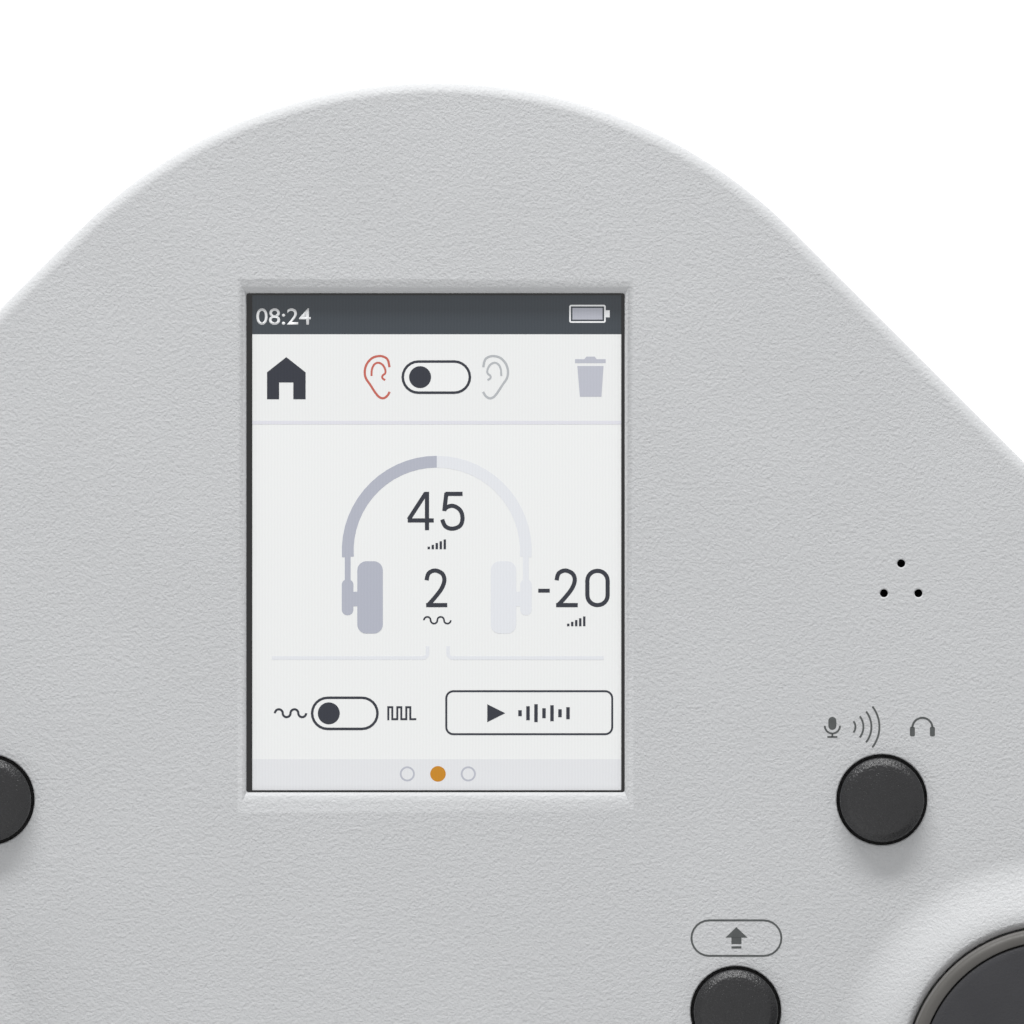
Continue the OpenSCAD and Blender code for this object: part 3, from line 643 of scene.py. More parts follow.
def lcdMaterial(name, colour):  # an image made of fine upright columns
    material, tree, shader, place = newMaterial(name)
    scale, spread = full / (20 * imageLook["columnMm"] * mm), imageLook["spread"]
    columns = addNode(
        tree, "TexWave", {"Scale": scale, "Distortion": 1.5, "Detail": 1.0}, {"Vector": place}
    )
    columns.bands_direction = "X"
    tint = twoColours(tree, columns.outputs["Fac"], colour, spread, spread, 0, 1)
    smudge = noiseNode(tree, place, imageLook["smudgeScale"], 2)
    tree.links.new(tint, shader.inputs["Base Color"])
    tree.links.new(tint, shader.inputs["Emission Color"])
    tree.links.new(rangeNode(tree, smudge, 0.14, 0.24), shader.inputs["Roughness"])
    setInputs(shader, {"Emission Strength": imageLook["glow"]})
    return material


shellGrain = {
    "spread": 1, "blotchMm": 20, "grainMm": 0.33, "depthMm": 0.15, "strength": 0.95,
    "cellMm": 0.6, "cellDepthMm": 0.06, "cellStrength": 0.8, "roughness": (0.42, 0.58),
    "matt": 0.7,
}
ringInk = {
    "spread": 4, "blotchMm": 1, "grainMm": 0.4, "depthMm": 0.01, "roughness": (0.4, 0.5),
}
finishes = {
    "upperShell": {"colour": (216, 217, 218), **shellGrain},
    "lowerShell": {"colour": (200, 201, 203), **shellGrain, "roughness": (0.44, 0.58)},
    "socketPlate": {
        "colour": (62, 63, 66), "spread": 3, "grainMm": 0.35, "depthMm": 0.03,
        "roughness": (0.45, 0.6),
    },
    "gasketFoam": {
        "colour": (22, 22, 24), "spread": 4, "grainMm": 0.25, "depthMm": 0.12, "strength": 0.9,
        "roughness": (0.85, 0.95), "specular": 0.2,
    },
    "touchGlass": {
        "colour": (14, 14, 16), "spread": 1, "grainMm": 8, "depthMm": 0.004, "strength": 0.1,
        "roughness": (0.06, 0.1),
    },
    "blackPlastic": {
        "colour": (30, 30, 32), "spread": 3, "grainMm": 0.3, "depthMm": 0.02,
        "roughness": (0.4, 0.55),
    },
    "knobRim": {
        "colour": (92, 90, 87), "spread": 2, "blotchMm": 5, "grainMm": 0.25, "depthMm": 0.03,
        "strength": 0.5, "roughness": (0.44, 0.58), "specular": 0.35,
    },
    "knobCap": {
        "colour": (54, 54, 57), "spread": 2, "blotchMm": 6, "grainMm": 0.32, "depthMm": 0.1,
        "strength": 0.8, "roughness": (0.4, 0.52), "specular": 0.35,
    },
    "keyRubber": {
        "colour": (15, 15, 18), "spread": 3, "blotchMm": 1.2, "grainMm": 0.34, "depthMm": 0.15,
        "strength": 0.9, "roughness": (0.24, 0.36), "specular": 0.5,
    },
    "plungerPlastic": {
        "colour": (34, 34, 36), "spread": 3, "grainMm": 0.3, "depthMm": 0.02,
        "roughness": (0.35, 0.5),
    },
    "ribbonFilm": {
        "colour": (168, 112, 52), "spread": 8, "blotchMm": 4, "grainMm": 0.5, "depthMm": 0.01,
        "roughness": (0.3, 0.45),
    },
    "socketPlastic": {
        "colour": (26, 26, 28), "spread": 3, "grainMm": 0.35, "depthMm": 0.02,
        "roughness": (0.3, 0.42),
    },
    "batteryFilm": {
        "colour": (56, 92, 138), "spread": 6, "blotchMm": 9, "grainMm": 1.5, "depthMm": 0.08,
        "roughness": (0.22, 0.36),
    },
    "footRubber": {
        "colour": (38, 38, 40), "spread": 4, "grainMm": 0.4, "depthMm": 0.05, "strength": 0.7,
        "roughness": (0.75, 0.9), "specular": 0.3,
    },
    "legendInk": {
        "colour": (78, 81, 81), "spread": 4, "blotchMm": 1, "grainMm": 0.4, "depthMm": 0.02,
        "roughness": (0.5, 0.62),
    },
    "phonesLeftMark": {"colour": (44, 88, 168), **ringInk},
    "phonesRightMark": {"colour": (186, 48, 42), **ringInk},
    "paleMark": {"colour": (198, 199, 202), **ringInk, "spread": 3},
}
materials = {name: grained(name, options) for name, options in finishes.items()}
materials["steel"] = brushed("steel", {
    "colour": (186, 187, 190), "stretch": (1, 1, 6), "lineMm": 0.4,
})
materials["contactBrass"] = brushed("contactBrass", {
    "colour": (206, 168, 92), "stretch": (1, 5, 1), "lineMm": 0.3,
})
materials["circuitBoard"] = boardMaterial("circuitBoard")
print("materials made")


# The shells go into the scene.

finishPiece(
    makeUpperShell(), "upperShell", "console", "upperShell", "top_shell"
)
print("upper shell made")
finishPiece(
    makeLowerShell(), "lowerShell", "console", "lowerShell", "bottom_shell",
    onPanel=False,
)
print("lower shell made")


# Knobs.

knob = {
    "r": 19.0, "h": 13.5, "rimRound": 0.8, "capR": 17.45, "capT": 1.6, "skirtR": 16.6,
    "skirtTop": 9.7, "hubR": 6.0, "shaftR": 3.0, "hubLow": 4.1, "shaftTop": 10.7,
    "capGap": 0.13, "dish": 0.55, "dishSteps": 12, "capDrop": 0.1, "steps": 144, "smoothTo": 40,
}


def makeKnobBody():
    r, h, rimRound, capR = knob["r"], knob["h"], knob["rimRound"], knob["capR"]
    skirtR, hubR, shaftR = knob["skirtR"], knob["hubR"], knob["shaftR"]
    seatZ = h - knob["capT"]
    obj = turned([
        (0, knob["shaftTop"]), (shaftR, knob["shaftTop"]), (shaftR, knob["hubLow"]),
        (hubR, knob["hubLow"]), (hubR, knob["skirtTop"]), (skirtR, knob["skirtTop"]),
        (skirtR, 0.2), (skirtR + 0.2, 0), (r - 0.4, 0), (r, 0.4),
    ] + roundedTurn(r - rimRound, h - rimRound, rimRound, 0, 90, 7) + [
        (capR + 0.18, h), (capR + 0.05, h - 0.05), (capR, h - 0.18), (capR, seatZ), (0, seatZ),
    ], steps=knob["steps"])
    smooth(obj, knob["smoothTo"])
    return obj


def makeKnobCap():
    seatZ, topZ = knob["h"] - knob["capT"], knob["h"] - knob["capDrop"]
    edgeR = knob["capR"] - knob["capGap"]
    crown = [(edgeR, topZ - 0.35), (edgeR - 0.1, topZ - 0.12), (edgeR - 0.35, topZ)]
    dishR, steps = edgeR - 1.0, knob["dishSteps"]
    dish = [
        (dishR * (1 - i / steps), topZ - knob["dish"] * (1 - math.cos(math.pi * i / steps)) / 2)
        for i in range(steps + 1)
    ]
    dish[-1] = (0, topZ - knob["dish"])
    obj = turned([(0, seatZ), (edgeR, seatZ)] + crown + dish, steps=knob["steps"])
    smooth(obj, knob["smoothTo"])
    return obj


knobBody, knobCap = makeKnobBody(), makeKnobCap()
for side, place in knobPlaces.items():
    body = side + "_knob"
    for pattern, suffix, slotName, finish, node in (
        (knobBody, "Knob", "knob_rim", "knobRim", body),
        (knobCap, "KnobCap", "knob_cap", "knobCap", body + "_cap"),
    ):
        finishPiece(at(duplicate(pattern), place), side + suffix, body, finish, node)
for pattern in (knobBody, knobCap):
    bpy.data.objects.remove(pattern)
print("knobs made")


# Keys.

roundKey = {
    "r": 5.5, "crownR": 30.0, "crownSteps": 8, "top": 2.6, "round": 0.5, "rimR": 6.5,
    "roundEnd": 50, "rimEnd": 58, "crease": 0.12,
    "flangeR": 7.0, "flangeZ": -2.55, "flangeT": 1.0, "stemR": 2.2, "stemZ": -4.9,
}


def makeRoundKey():
    small, large = roundKey["round"], roundKey["rimR"]
    flangeR, flangeZ = roundKey["flangeR"], roundKey["flangeZ"]
    stemR, low = roundKey["stemR"], flangeZ - roundKey["flangeT"]
    middleR, middleZ = around(large - small, roundKey["roundEnd"])
    rimX, rimZ = around(large, roundKey["rimEnd"])
    smallX = roundKey["r"] - small
    largeX = smallX - middleR
    rim = largeX + rimX - roundKey["crease"]

    def crownZ(r):
        return roundKey["top"] - r ** 2 / (2 * roundKey["crownR"])

    largeZ = crownZ(rim) - 0.35 * roundKey["crease"] - rimZ
    edge = roundedTurn(smallX, largeZ + middleZ, small, 0, roundKey["roundEnd"], 6)
    edge += roundedTurn(largeX, largeZ, large, roundKey["roundEnd"], roundKey["rimEnd"], 4)[1:]
    steps = roundKey["crownSteps"]
    radii = [rim * (1 - i / steps) for i in range(steps + 1)]
    obj = turned([
        (0, roundKey["stemZ"]), (stemR, roundKey["stemZ"]), (stemR, low), (flangeR, low),
        (flangeR, flangeZ), (roundKey["r"], flangeZ),
    ] + edge + [(r, crownZ(r)) for r in radii], steps=80)
    smooth(obj, 15)
    return obj


def makeStimulusKey(side):
    width, length, top = (stimulusKey[key] for key in ("width", "length", "height"))
    low, grow = roundKey["flangeZ"], 2 * stimulusKey["flange"]
    obj = roundBar((0, 0, 0), 0, width, length, low - 0.01, top)
    pickLevel(obj, top)
    bevelEdges(stimulusKey["round"], 5)
    closeUp(obj)
    flange = roundBar((0, 0, 0), 0, width + grow, length + grow, low - roundKey["flangeT"], low)
    combine(obj, flange, "UNION")
    combine(obj, rod(roundKey["stemR"], roundKey["stemZ"], low - 0.5), "UNION")
    smooth(obj, shell["smoothTo"], weighted=True)
    return at(obj, keyPlace("stimulus", side), side * keyCircle["stimulus"])


keyPattern = makeRoundKey()
for name, place in roundKeyPlaces.items():
    node = name + "_button"
    obj = at(duplicate(keyPattern), place)
    finishPiece(obj, name + "Key", node, "keyRubber", node)
bpy.data.objects.remove(keyPattern)
for name, side in (("left", -1), ("right", 1)):
    node = name + "_stimulus_key"
    finishPiece(
        makeStimulusKey(side), name + "StimulusKey", node, "keyRubber", node
    )
print("keys made")


# Sockets at the rear, drawn with +Z out of the socket plate.

sockets = {
    "y": 75.3485, "z": 15.5, "firstX": -30.0, "pitch": 15.8, "bodyW": 15.0, "bodyH": 14.0,
    "bodyL": 22.0, "bushR": 4.5, "bushTop": 6.0, "boreR": 3.25, "threadPitch": 0.5,
    "plateT": 2.0, "threadD": 0.22, "nutR": 6.928, "nutTop": 4.0, "ringInner": 7.15,
    "ringOuter": 7.75, "ringT": 0.08, "portX": 31.4, "portZ": 10.1,
}
socketNodes = {
    "leftPhones": "left_phones_jack", "rightPhones": "right_phones_jack", "bone": "bone_jack",
    "response": "response_jack",
}


def socketPlace(x, z):
    return Matrix.Translation((x, sockets["y"], z)) @ Matrix.Rotation(-math.pi / 2, 4, "X")


def makeSocket():
    w, h = sockets["bodyW"] / 2, sockets["bodyH"] / 2
    bushR, bushTop, boreR = sockets["bushR"], sockets["bushTop"], sockets["boreR"]
    obj = box((-w, -h, -sockets["bodyL"]), (w, h, 0))
    pickEdges(obj, lambda a, b: True)
    bevelEdges(0.4, 3)
    toObject()
    z = sockets["plateT"]
    threads = [(bushR, -1), (bushR, z)]
    while z < bushTop - 0.6:
        threads.append((bushR - sockets["threadD"], z + sockets["threadPitch"] / 2))
        z += sockets["threadPitch"]
        threads.append((bushR, z))
    threads += [(bushR - 0.3, bushTop), (0, bushTop)]
    combine(obj, turned([(0, -1)] + threads, steps=72), "UNION")
    boreEnd, mouth = 2 - sockets["bodyL"], bushTop + 0.1
    bore = turned([
        (0, boreEnd), (boreR, boreEnd), (boreR, bushTop - 0.4), (boreR + 0.5, mouth), (0, mouth),
    ], steps=72)
    combine(obj, bore, "DIFFERENCE")
    smooth(obj, 30, weighted=True)
    return obj


def makeSocketNut():
    nutR, low, high = sockets["nutR"], sockets["plateT"], sockets["nutTop"]
    obj = rod(nutR, low, high, 6)
    dome = turned([
        (0, low - 0.1), (nutR + 0.2, low - 0.1), (nutR + 0.2, high - 0.75), (nutR - 0.9, high),
        (0, high),
    ], steps=72)
    combine(obj, dome, "INTERSECT")
    combine(obj, rod(sockets["bushR"] + 0.01, low - 1, high + 1, 72), "DIFFERENCE")
    smooth(obj, 24)
    return obj


socketPattern, nutPattern = makeSocket(), makeSocketNut()
nuts = []
for index, (name, node) in enumerate(socketNodes.items()):
    place = socketPlace(sockets["firstX"] + index * sockets["pitch"], sockets["z"])
    finishPiece(
        moved(duplicate(socketPattern), place), name + "Socket", "console",
        "socketPlastic", node, onPanel=False,
    )
    nuts.append(moved(duplicate(nutPattern), place))
for pattern in (socketPattern, nutPattern):
    bpy.data.objects.remove(pattern)
finishPiece(
    joined(nuts), "socketNuts", "console", "steel", "jack_nuts", onPanel=False
)

port = {
    "w": 9.0, "h": 3.2, "sheet": 0.3, "back": -6.5, "front": 2.3, "tongueW": 6.6,
    "tongueT": 0.7, "tongueFront": 1.4,
}


def makeDataPort():
    w, h, sheet, back, front = (port[key] for key in ("w", "h", "sheet", "back", "front"))
    tongueW, tongueT, tip = port["tongueW"] / 2, port["tongueT"] / 2, port["tongueFront"]
    obj = roundBar((0, 0, 0), 90, h, w, back, front)
    inner = roundBar((0, 0, 0), 90, h - 2 * sheet, w - 2 * sheet, back + 1, front + 2)
    combine(obj, inner, "DIFFERENCE")
    obj.data.materials.append(materials["steel"])
    tongue = box((-tongueW, -tongueT, back + 0.5), (tongueW, tongueT, tip))
    pickLevel(tongue, tip)
    bevelEdges(0.15, 2)
    toObject()
    tongue.data.materials.append(materials["socketPlastic"])
    obj = joined([obj, tongue])
    smooth(obj, 30)
    return moved(obj, socketPlace(sockets["portX"], sockets["portZ"]))


finishPiece(makeDataPort(), "dataPort", "console", node="data_port", onPanel=False)
print("sockets made")


# Feet and battery door.

def makeFeet():
    r, rim, deep, edge = feet["r"], feet["round"], feet["depth"], feet["edge"]
    foot = turned(
        [(0, 0), (r - rim - edge, 0)] + roundedTurn(r - rim, rim, rim, -90, 0)
        + [(r, deep - edge), (r - edge, deep), (0, deep)],
        steps=64,
    )
    smooth(foot, 40)
    copies = [at(duplicate(foot), place) for place in footPlaces]
    bpy.data.objects.remove(foot)
    return joined(copies)


def makeBatteryDoor():
    low = console["rideH"]
    obj = batteryBox(0, low, low + battery["doorT"])
    pickUpright(obj)
    bevelEdges(battery["cornerR"], 4)
    pickLevel(obj, low)
    bevelEdges(battery["edgeR"], 2)
    closeUp(obj)
    place = (0, battery["screwY"], 0)
    combine(obj, at(rod(battery["headR"], 0, low + battery["headD"]), place), "DIFFERENCE")
    combine(obj, at(rod(seat["screwR"], 0, 9), place), "DIFFERENCE")
    for row in range(3):  # finger grooves along the rear edge
        y = battery["y"] + battery["halfL"] - 5 - battery["groovePitch"] * row
        groove = roundBar(
            (0, y, 0), 90, battery["grooveW"], battery["grooveL"], low - 1, low + 0.5
        )
        combine(obj, groove, "DIFFERENCE")
    smooth(obj, 30, weighted=True)
    return obj


finishPiece(
    makeFeet(), "rubberFeet", "console", "footRubber", "rubber_feet",
    onPanel=False,
)
finishPiece(
    makeBatteryDoor(), "batteryDoor", "console", "lowerShell", "battery_door",
    onPanel=False,
)
print("feet and door made")


# Flat shapes, for the display's image and the marks on the panel. Places are given in
# units of one picture point, from a corner up and to the left of the display.

drawing = {"point": 0.1308, "x": 435.25, "y": 542.5, "sheet": 0.012, "inkT": 0.02}


def spot(x, y):
    return (
        (x - drawing["x"]) * drawing["point"],
        display["y"] + (drawing["y"] - y) * drawing["point"],
    )


def flatBar(x0, y0, x1, y1, radius=0.0):
    ax, ay = spot(x0, y0)
    bx, by = spot(x1, y1)
    deselect()
    bpy.ops.mesh.primitive_plane_add(size=1)
    obj = bpy.context.active_object
    toEdit()
    selectAll()
    bpy.ops.transform.resize(value=(abs(bx - ax), abs(by - ay), 1))
    if radius:
        bpy.ops.mesh.bevel(
            offset=radius * drawing["point"], segments=6, affect="VERTICES", clamp_overlap=True
        )
    toObject()
    return at(obj, ((ax + bx) / 2, (ay + by) / 2, 0))


def flatDisc(x, y, radius):
    deselect()
    bpy.ops.mesh.primitive_circle_add(
        vertices=40, radius=radius * drawing["point"], fill_type="NGON",
        location=(*spot(x, y), 0),
    )
    obj = bpy.context.active_object
    applyPlace(obj)
    return obj


def flatArc(x, y, radius, width, start=0.0, end=360.0):  # degrees, anticlockwise from +X
    cx, cy = spot(x, y)
    innerX, innerY = around((radius - width) * drawing["point"], start)
    obj = startPoint((cx + innerX, cy + innerY, 0))
    drawOn((*around(width * drawing["point"], start), 0))
    selectAll()
    steps = max(6, int(abs(end - start) / 6))
    swing((cx, cy, 0), math.radians(end - start), steps)
    toObject()
    return obj


def flatFrame(x0, y0, x1, y1, radius, line):  # an outlined bar
    obj = flatBar(x0, y0, x1, y1, radius)
    toEdit("FACE")
    selectAll()
    bpy.ops.mesh.inset(thickness=line * drawing["point"], depth=0)
    bpy.ops.mesh.delete(type="FACE")
    toObject()
    return obj


def flatPolygon(points):
    first = spot(*points[0])
    obj = startPoint((*first, 0))
    last = first
    for point in points[1:]:
        x, y = spot(*point)
        drawOn((x - last[0], y - last[1], 0))
        last = (x, y)
    selectAll()
    bpy.ops.mesh.edge_face_add()
    toObject()
    return obj


def flatLine(points, width, curved=True):  # a line of even width through the points
    path = [Vector(point) for point in points]
    if curved:
        ends = [path[0]] + path + [path[-1]]
        path = []
        for a, b, c, d in zip(ends, ends[1:], ends[2:], ends[3:]):
            for t in (0, 0.25, 0.5, 0.75):
                cubic = (b - c) * 3 + d - a
                path.append(b + ((c - a) * t + (a * 2 - b * 5 + c * 4 - d + cubic * t) * t * t) / 2)
        path.append(ends[-1])
    left, right = [], []
    for i, point in enumerate(path):
        along = path[min(i + 1, len(path) - 1)] - path[max(i - 1, 0)]
        across = Vector((-along.y, along.x)).normalized() * width / 2
        left.append(point + across)
        right.append(point - across)
    return flatPolygon(left + right[::-1])


def flatNumber(text, x0, x1, y0, y1, weight=0.0):
    deselect()
    bpy.ops.object.text_add()
    obj = bpy.context.active_object
    obj.data.body = text
    obj.data.size = 10
    obj.data.offset = weight
    obj.data.resolution_u = 6
    onlySelect(obj)
    bpy.ops.object.convert(target="MESH")
    obj = bpy.context.active_object
    xs = [v.co.x for v in obj.data.vertices]
    ys = [v.co.y for v in obj.data.vertices]
    ax, ay = spot(x0, y1)
    bx, by = spot(x1, y0)
    sx, sy = (bx - ax) / (max(xs) - min(xs)), (by - ay) / (max(ys) - min(ys))
    obj.scale = (sx, sy, 1)
    obj.location = (ax - min(xs) * sx, ay - min(ys) * sy, 0)
    applyPlace(obj)
    return obj


def thicken(obj, depth):  # closes flat shapes into thin sheets, drawn down from their faces
    onlySelect(obj)
    toEdit("FACE")
    selectAll()
    bpy.ops.mesh.normals_make_consistent(inside=False)
    pickFaces(obj, lambda c, n: n.z < 0)
    if any(face.normal.z < 0 for face in obj.data.polygons):
        bpy.ops.mesh.flip_normals()
    selectAll()
    drawOn((0, 0, depth))
    return closeUp(obj)


# Display: a dark glass, and the image on it in thin layers.

ink = {
    "page": (236, 237, 236), "statusBar": (54, 61, 68), "header": (234, 235, 234),
    "rule": (221, 221, 228), "white": (244, 245, 246), "navy": (34, 38, 50),
    "grey": (176, 179, 191), "paleGrey": (226, 228, 232), "binGrey": (186, 188, 198),
    "red": (192, 96, 82), "earGrey": (178, 181, 184), "footer": (225, 226, 228),
    "amber": (196, 130, 0), "ringGrey": (184, 186, 196),
}
lcd = {name: lcdMaterial("lcd" + name[0].upper() + name[1:], tint) for name, tint in ink.items()}
drawn = []


def layer(level, tint, *shapes):  # five heights in each level keep sheets that cross apart
    for obj in shapes:
        part = 0.15 * (len(drawn) % 5)
        obj.location.z = display["glassZ"] + drawing["sheet"] * (level + part)
        applyPlace(obj)
        obj.data.materials.clear()
        obj.data.materials.append(lcd[tint])
        drawn.append(obj)


def toggle(x0, y0, x1, y1, dotX, level=2, line=2.6, dotR=11):
    radius = (y1 - y0) / 2
    layer(level, "navy", flatBar(x0, y0, x1, y1, radius))
    inner = flatBar(x0 + line, y0 + line, x1 - line, y1 - line, radius - line)
    layer(level + 1, "page", inner)
    layer(level + 2, "navy", flatDisc(dotX, (y0 + y1) / 2, dotR))


earOutline = [
    (389.2, 366.9), (387.6, 359.8), (383.8, 356.6), (378.4, 355.8), (371.8, 357.8),
    (366.6, 363.5), (364.5, 370.5), (365.4, 377.5), (370.0, 384.6), (375.5, 393.0),
    (379.3, 397.0), (383.3, 397.9), (386.9, 395.6), (389.4, 391.5),
]
earFold = [
    (371.2, 375.7), (371.6, 369.2), (373.9, 364.3), (377.8, 362.4), (382.2, 364.4),
    (384.9, 369.0), (384.9, 373.0), (382.2, 375.4), (382.2, 378.0), (385.0, 379.8),
]
earMid = 436.1


def ear(tint, mirrored):
    for points, width in ((earOutline, 2.3), (earFold, 2.0)):
        if mirrored:
            points = [(2 * earMid - x, y) for x, y in points]
        layer(3, tint, flatLine(points, width))


def headsetHalf(side, tint):  # an arm of the headband, its slider and one ear cup
    mid = 436.5

    def bar(near, far, y0, y1, radius=0.0):
        low, high = sorted((mid + side * near, mid + side * far))
        return flatBar(low, y0, high, y1, radius)

    start, end = (90, 184) if side < 0 else (-4, 90)
    layer(
        2, tint, flatArc(mid, 550.5, 95, 11.8, start, end), bar(86.2, 92, 553, 584),
        bar(83.4, 95, 579, 615, 5.5), bar(76, 86, 591.5, 606), bar(54, 79.5, 561, 633.3, 9),
    )


numberStrokes = {  # each in a box of 1 by 1, from its upper left corner; curves are marked True
    "4": [(False, [(0.74, 0.0), (0.74, 1.0)]), (False, [(0.7, 0.03), (0.04, 0.72)]),
          (False, [(0.0, 0.745), (1.0, 0.745)])],
    "5": [(False, [(0.93, 0.055), (0.2, 0.055)]), (False, [(0.24, 0.03), (0.15, 0.5)]),
          (True, [(0.13, 0.47), (0.3, 0.39), (0.55, 0.37), (0.83, 0.48), (0.93, 0.68),
                  (0.83, 0.88), (0.5, 0.96), (0.2, 0.9), (0.06, 0.72)])],
    "2": [(True, [(0.08, 0.3), (0.17, 0.12), (0.46, 0.045), (0.78, 0.13), (0.87, 0.31),
                  (0.73, 0.53), (0.4, 0.78), (0.12, 0.96)]),
          (False, [(0.06, 0.945), (1.0, 0.945)])],
}


def drawDigit(digit, x0, y0, x1, y1, line=4.2):
    if digit == "0":
        layer(2, "navy", flatFrame(x0, y0, x1, y1, (x1 - x0) / 2 - 0.3, line))
        return
    for curved, points in numberStrokes[digit]:
        places = [(x0 + (x1 - x0) * x, y0 + (y1 - y0) * y) for x, y in points]
        layer(2, "navy", flatLine(places, line, curved))


def levelMark(x, y):  # five rising bars
    layer(2, "navy", *[
        flatBar(x - 9.2 + 4 * i, y - 2.6 - 1.8 * i, x - 6.8 + 4 * i, y) for i in range(5)
    ])


def waveMark(x, y, count, radius, line):
    for i in range(count):
        start = 180 * (i % 2)
        layer(2, "navy", flatArc(x + (2 * radius - line) * i, y, radius, line, start, start + 180))


def pulseMark(x, y):
    for left in (x, x + 9, x + 18):
        layer(
            2, "navy", flatBar(left, y - 7, left + 2, y + 7), flatBar(left, y - 7, left + 6, y - 5),
            flatBar(left + 4, y - 7, left + 6, y + 7), flatBar(left + 4, y + 5, left + 11, y + 7),
        )


def drawImage():
    layer(1, "page", flatBar(252, 295, 621, 790))
    layer(2, "statusBar", flatBar(252, 295, 621, 334))
    layer(2, "header", flatBar(252, 334, 621, 421))
    layer(2, "rule", flatBar(252, 420.5, 621, 424))
    layer(2, "footer", flatBar(252, 759, 621, 790))
    layer(3, "white", flatNumber("08:24", 256, 310.5, 308, 324.5, 0.05))
    layer(3, "white", flatFrame(569, 304.5, 605.5, 322.5, 2, 1.6), flatBar(605.5, 310, 609.5, 317))
    layer(4, "binGrey", flatBar(572.2, 307.7, 602.3, 319.3))
    layer(3, "navy", flatPolygon([
        (286, 356.8), (305.3, 372), (305.3, 399), (293, 399), (293, 382.2), (278.8, 382.2),
        (278.8, 399), (266.7, 399), (266.7, 372),
    ]))
    ear("red", False)
    ear("earGrey", True)
    toggle(401.2, 360, 470.9, 393.7, 419.8, 3)
    layer(3, "binGrey", flatPolygon([(586, 356.3), (594.5, 356.3), (596.5, 359), (584, 359)]))
    layer(3, "binGrey", flatBar(574.8, 358.9, 605.4, 362.8))
    layer(3, "binGrey", flatPolygon([
        (577.1, 365.7), (603.3, 365.7), (601.2, 396.4), (579.6, 396.4),
    ]))
    headsetHalf(-1, "grey")
    headsetHalf(1, "paleGrey")
    drawDigit("4", 407.4, 491.5, 433.5, 530)
    drawDigit("5", 440.5, 491.5, 463.9, 530)
    levelMark(436.5, 549)
    drawDigit("2", 424.5, 568.5, 447, 607)
    waveMark(427, 620, 4, 4.2, 1.7)
    layer(2, "navy", flatBar(538, 588.5, 549.5, 592.4))
    drawDigit("2", 554.5, 568.5, 577.5, 607)
    drawDigit("0", 585, 568.5, 609.5, 607)
    levelMark(576, 626)
    for side in (-1, 1):  # two brackets that turn up at the middle
        low, high = sorted((437.5 + side * 15, 437.5 + side * 166))
        layer(2, "paleGrey", flatBar(low, 656, high, 659.5))
        start, end = (270, 360) if side < 0 else (180, 270)
        layer(2, "paleGrey", flatArc(437.5 + side * 15, 653, 6.5, 3.5, start, end))
        low, high = sorted((437.5 + side * 8.5, 437.5 + side * 12))
        layer(2, "paleGrey", flatBar(low, 646, high, 653))
    toggle(310.5, 696.3, 378.5, 730, 328.5)
    waveMark(278.5, 713, 4, 5, 2.2)
    pulseMark(387, 713)
    layer(2, "navy", flatFrame(445, 690, 613, 735, 8, 2))
    layer(2, "navy", flatPolygon([(487, 704), (505, 713), (487, 722)]))
    layer(2, "navy", *[
        flatBar(518 + 8 * i, 713 - half, 521.5 + 8 * i, 713 + half)
        for i, half in enumerate((3, 7, 9, 5, 8, 4, 6))
    ])
    for x in (407, 468):
        layer(3, "ringGrey", flatArc(x, 773.7, 7.5, 1.8))
    layer(3, "amber", flatDisc(437.7, 773.7, 7.8))
    return thicken(joined(drawn), -drawing["sheet"] * 0.5)


def makeGlass():
    halfW, halfH = display["glassW"] / 2, display["glassH"] / 2
    obj = box(
        (-halfW, display["y"] - halfH, display["glassZ"] - display["glassT"]),
        (halfW, display["y"] + halfH, display["glassZ"]),
    )
    pickEdges(obj, lambda a, b: True)
    bevelEdges(0.15, 2)
    toObject()
    smooth(obj, 30, weighted=True)
    return obj


finishPiece(makeGlass(), "touchGlass", "console", "touchGlass", "touch_glass")
finishPiece(drawImage(), "displayImage", "console")
print("display made")


# Printed marks on the panel, and coloured rings at the sockets.

def talkMark():  # a microphone, sound waves and a headset
    x, y = 832, 726.5
    shapes = [
        flatBar(x - 4, y - 10, x + 4, y + 3, 4),
        flatArc(x, y - 1, 8.5, 1.8, 180, 360),
        flatBar(x - 0.9, y + 7, x + 0.9, y + 10.5), flatBar(x - 5, y + 9.2, x + 5, y + 11),
    ]
    for i in range(4):
        shapes.append(flatArc(x + 14, y, 10 + 8 * i, 1.9, -38, 38))
    x = 922
    shapes += [
        flatArc(x, y + 1, 11, 2, 0, 180),
        flatBar(x - 12.5, y, x - 7.5, y + 9.5, 1.5), flatBar(x + 7.5, y, x + 12.5, y + 9.5, 1.5),
    ]
    return shapes


def functionMark():  # an upward arrow in an outlined pill
    x, y = 736.1, 937.7
    return [
        flatFrame(x - 45.9, y - 18.7, x + 45.9, y + 18.7, 18.6, 1.9),
        flatPolygon([(x - 11, y - 0.5), (x, y - 11), (x + 11, y - 0.5)]),
        flatBar(x - 5, y - 0.8, x + 5, y + 6), flatBar(x - 5, y + 8.2, x + 5, y + 10.4),
    ]


def powerMark():
    x = 2 * drawing["x"] - 881.65
    return [flatArc(x, 727.5, 9.5, 2, 125, 415), flatBar(x - 1, 715, x + 1, 727)]


marks = thicken(joined(talkMark() + functionMark() + powerMark()), -drawing["inkT"])
marks.location.z = drawing["inkT"]
finishPiece(marks, "panelMarks", "console", "legendInk")


def makeSocketRings():
    shades = ["phonesLeftMark", "phonesRightMark", "paleMark", "paleMark"]
    rings = []
    inner, outer = sockets["ringInner"], sockets["ringOuter"]
    low, top = sockets["plateT"], sockets["plateT"] + sockets["ringT"]
    for index, shade in enumerate(shades):
        ring = turned([(inner, low), (outer, low), (outer, top), (inner, top)], steps=72)
        ring.data.materials.append(materials[shade])
        place = socketPlace(sockets["firstX"] + index * sockets["pitch"], sockets["z"])
        rings.append(moved(ring, place))
    return joined(rings)


finishPiece(makeSocketRings(), "socketRings", "console", onPanel=False)
print("marks made")


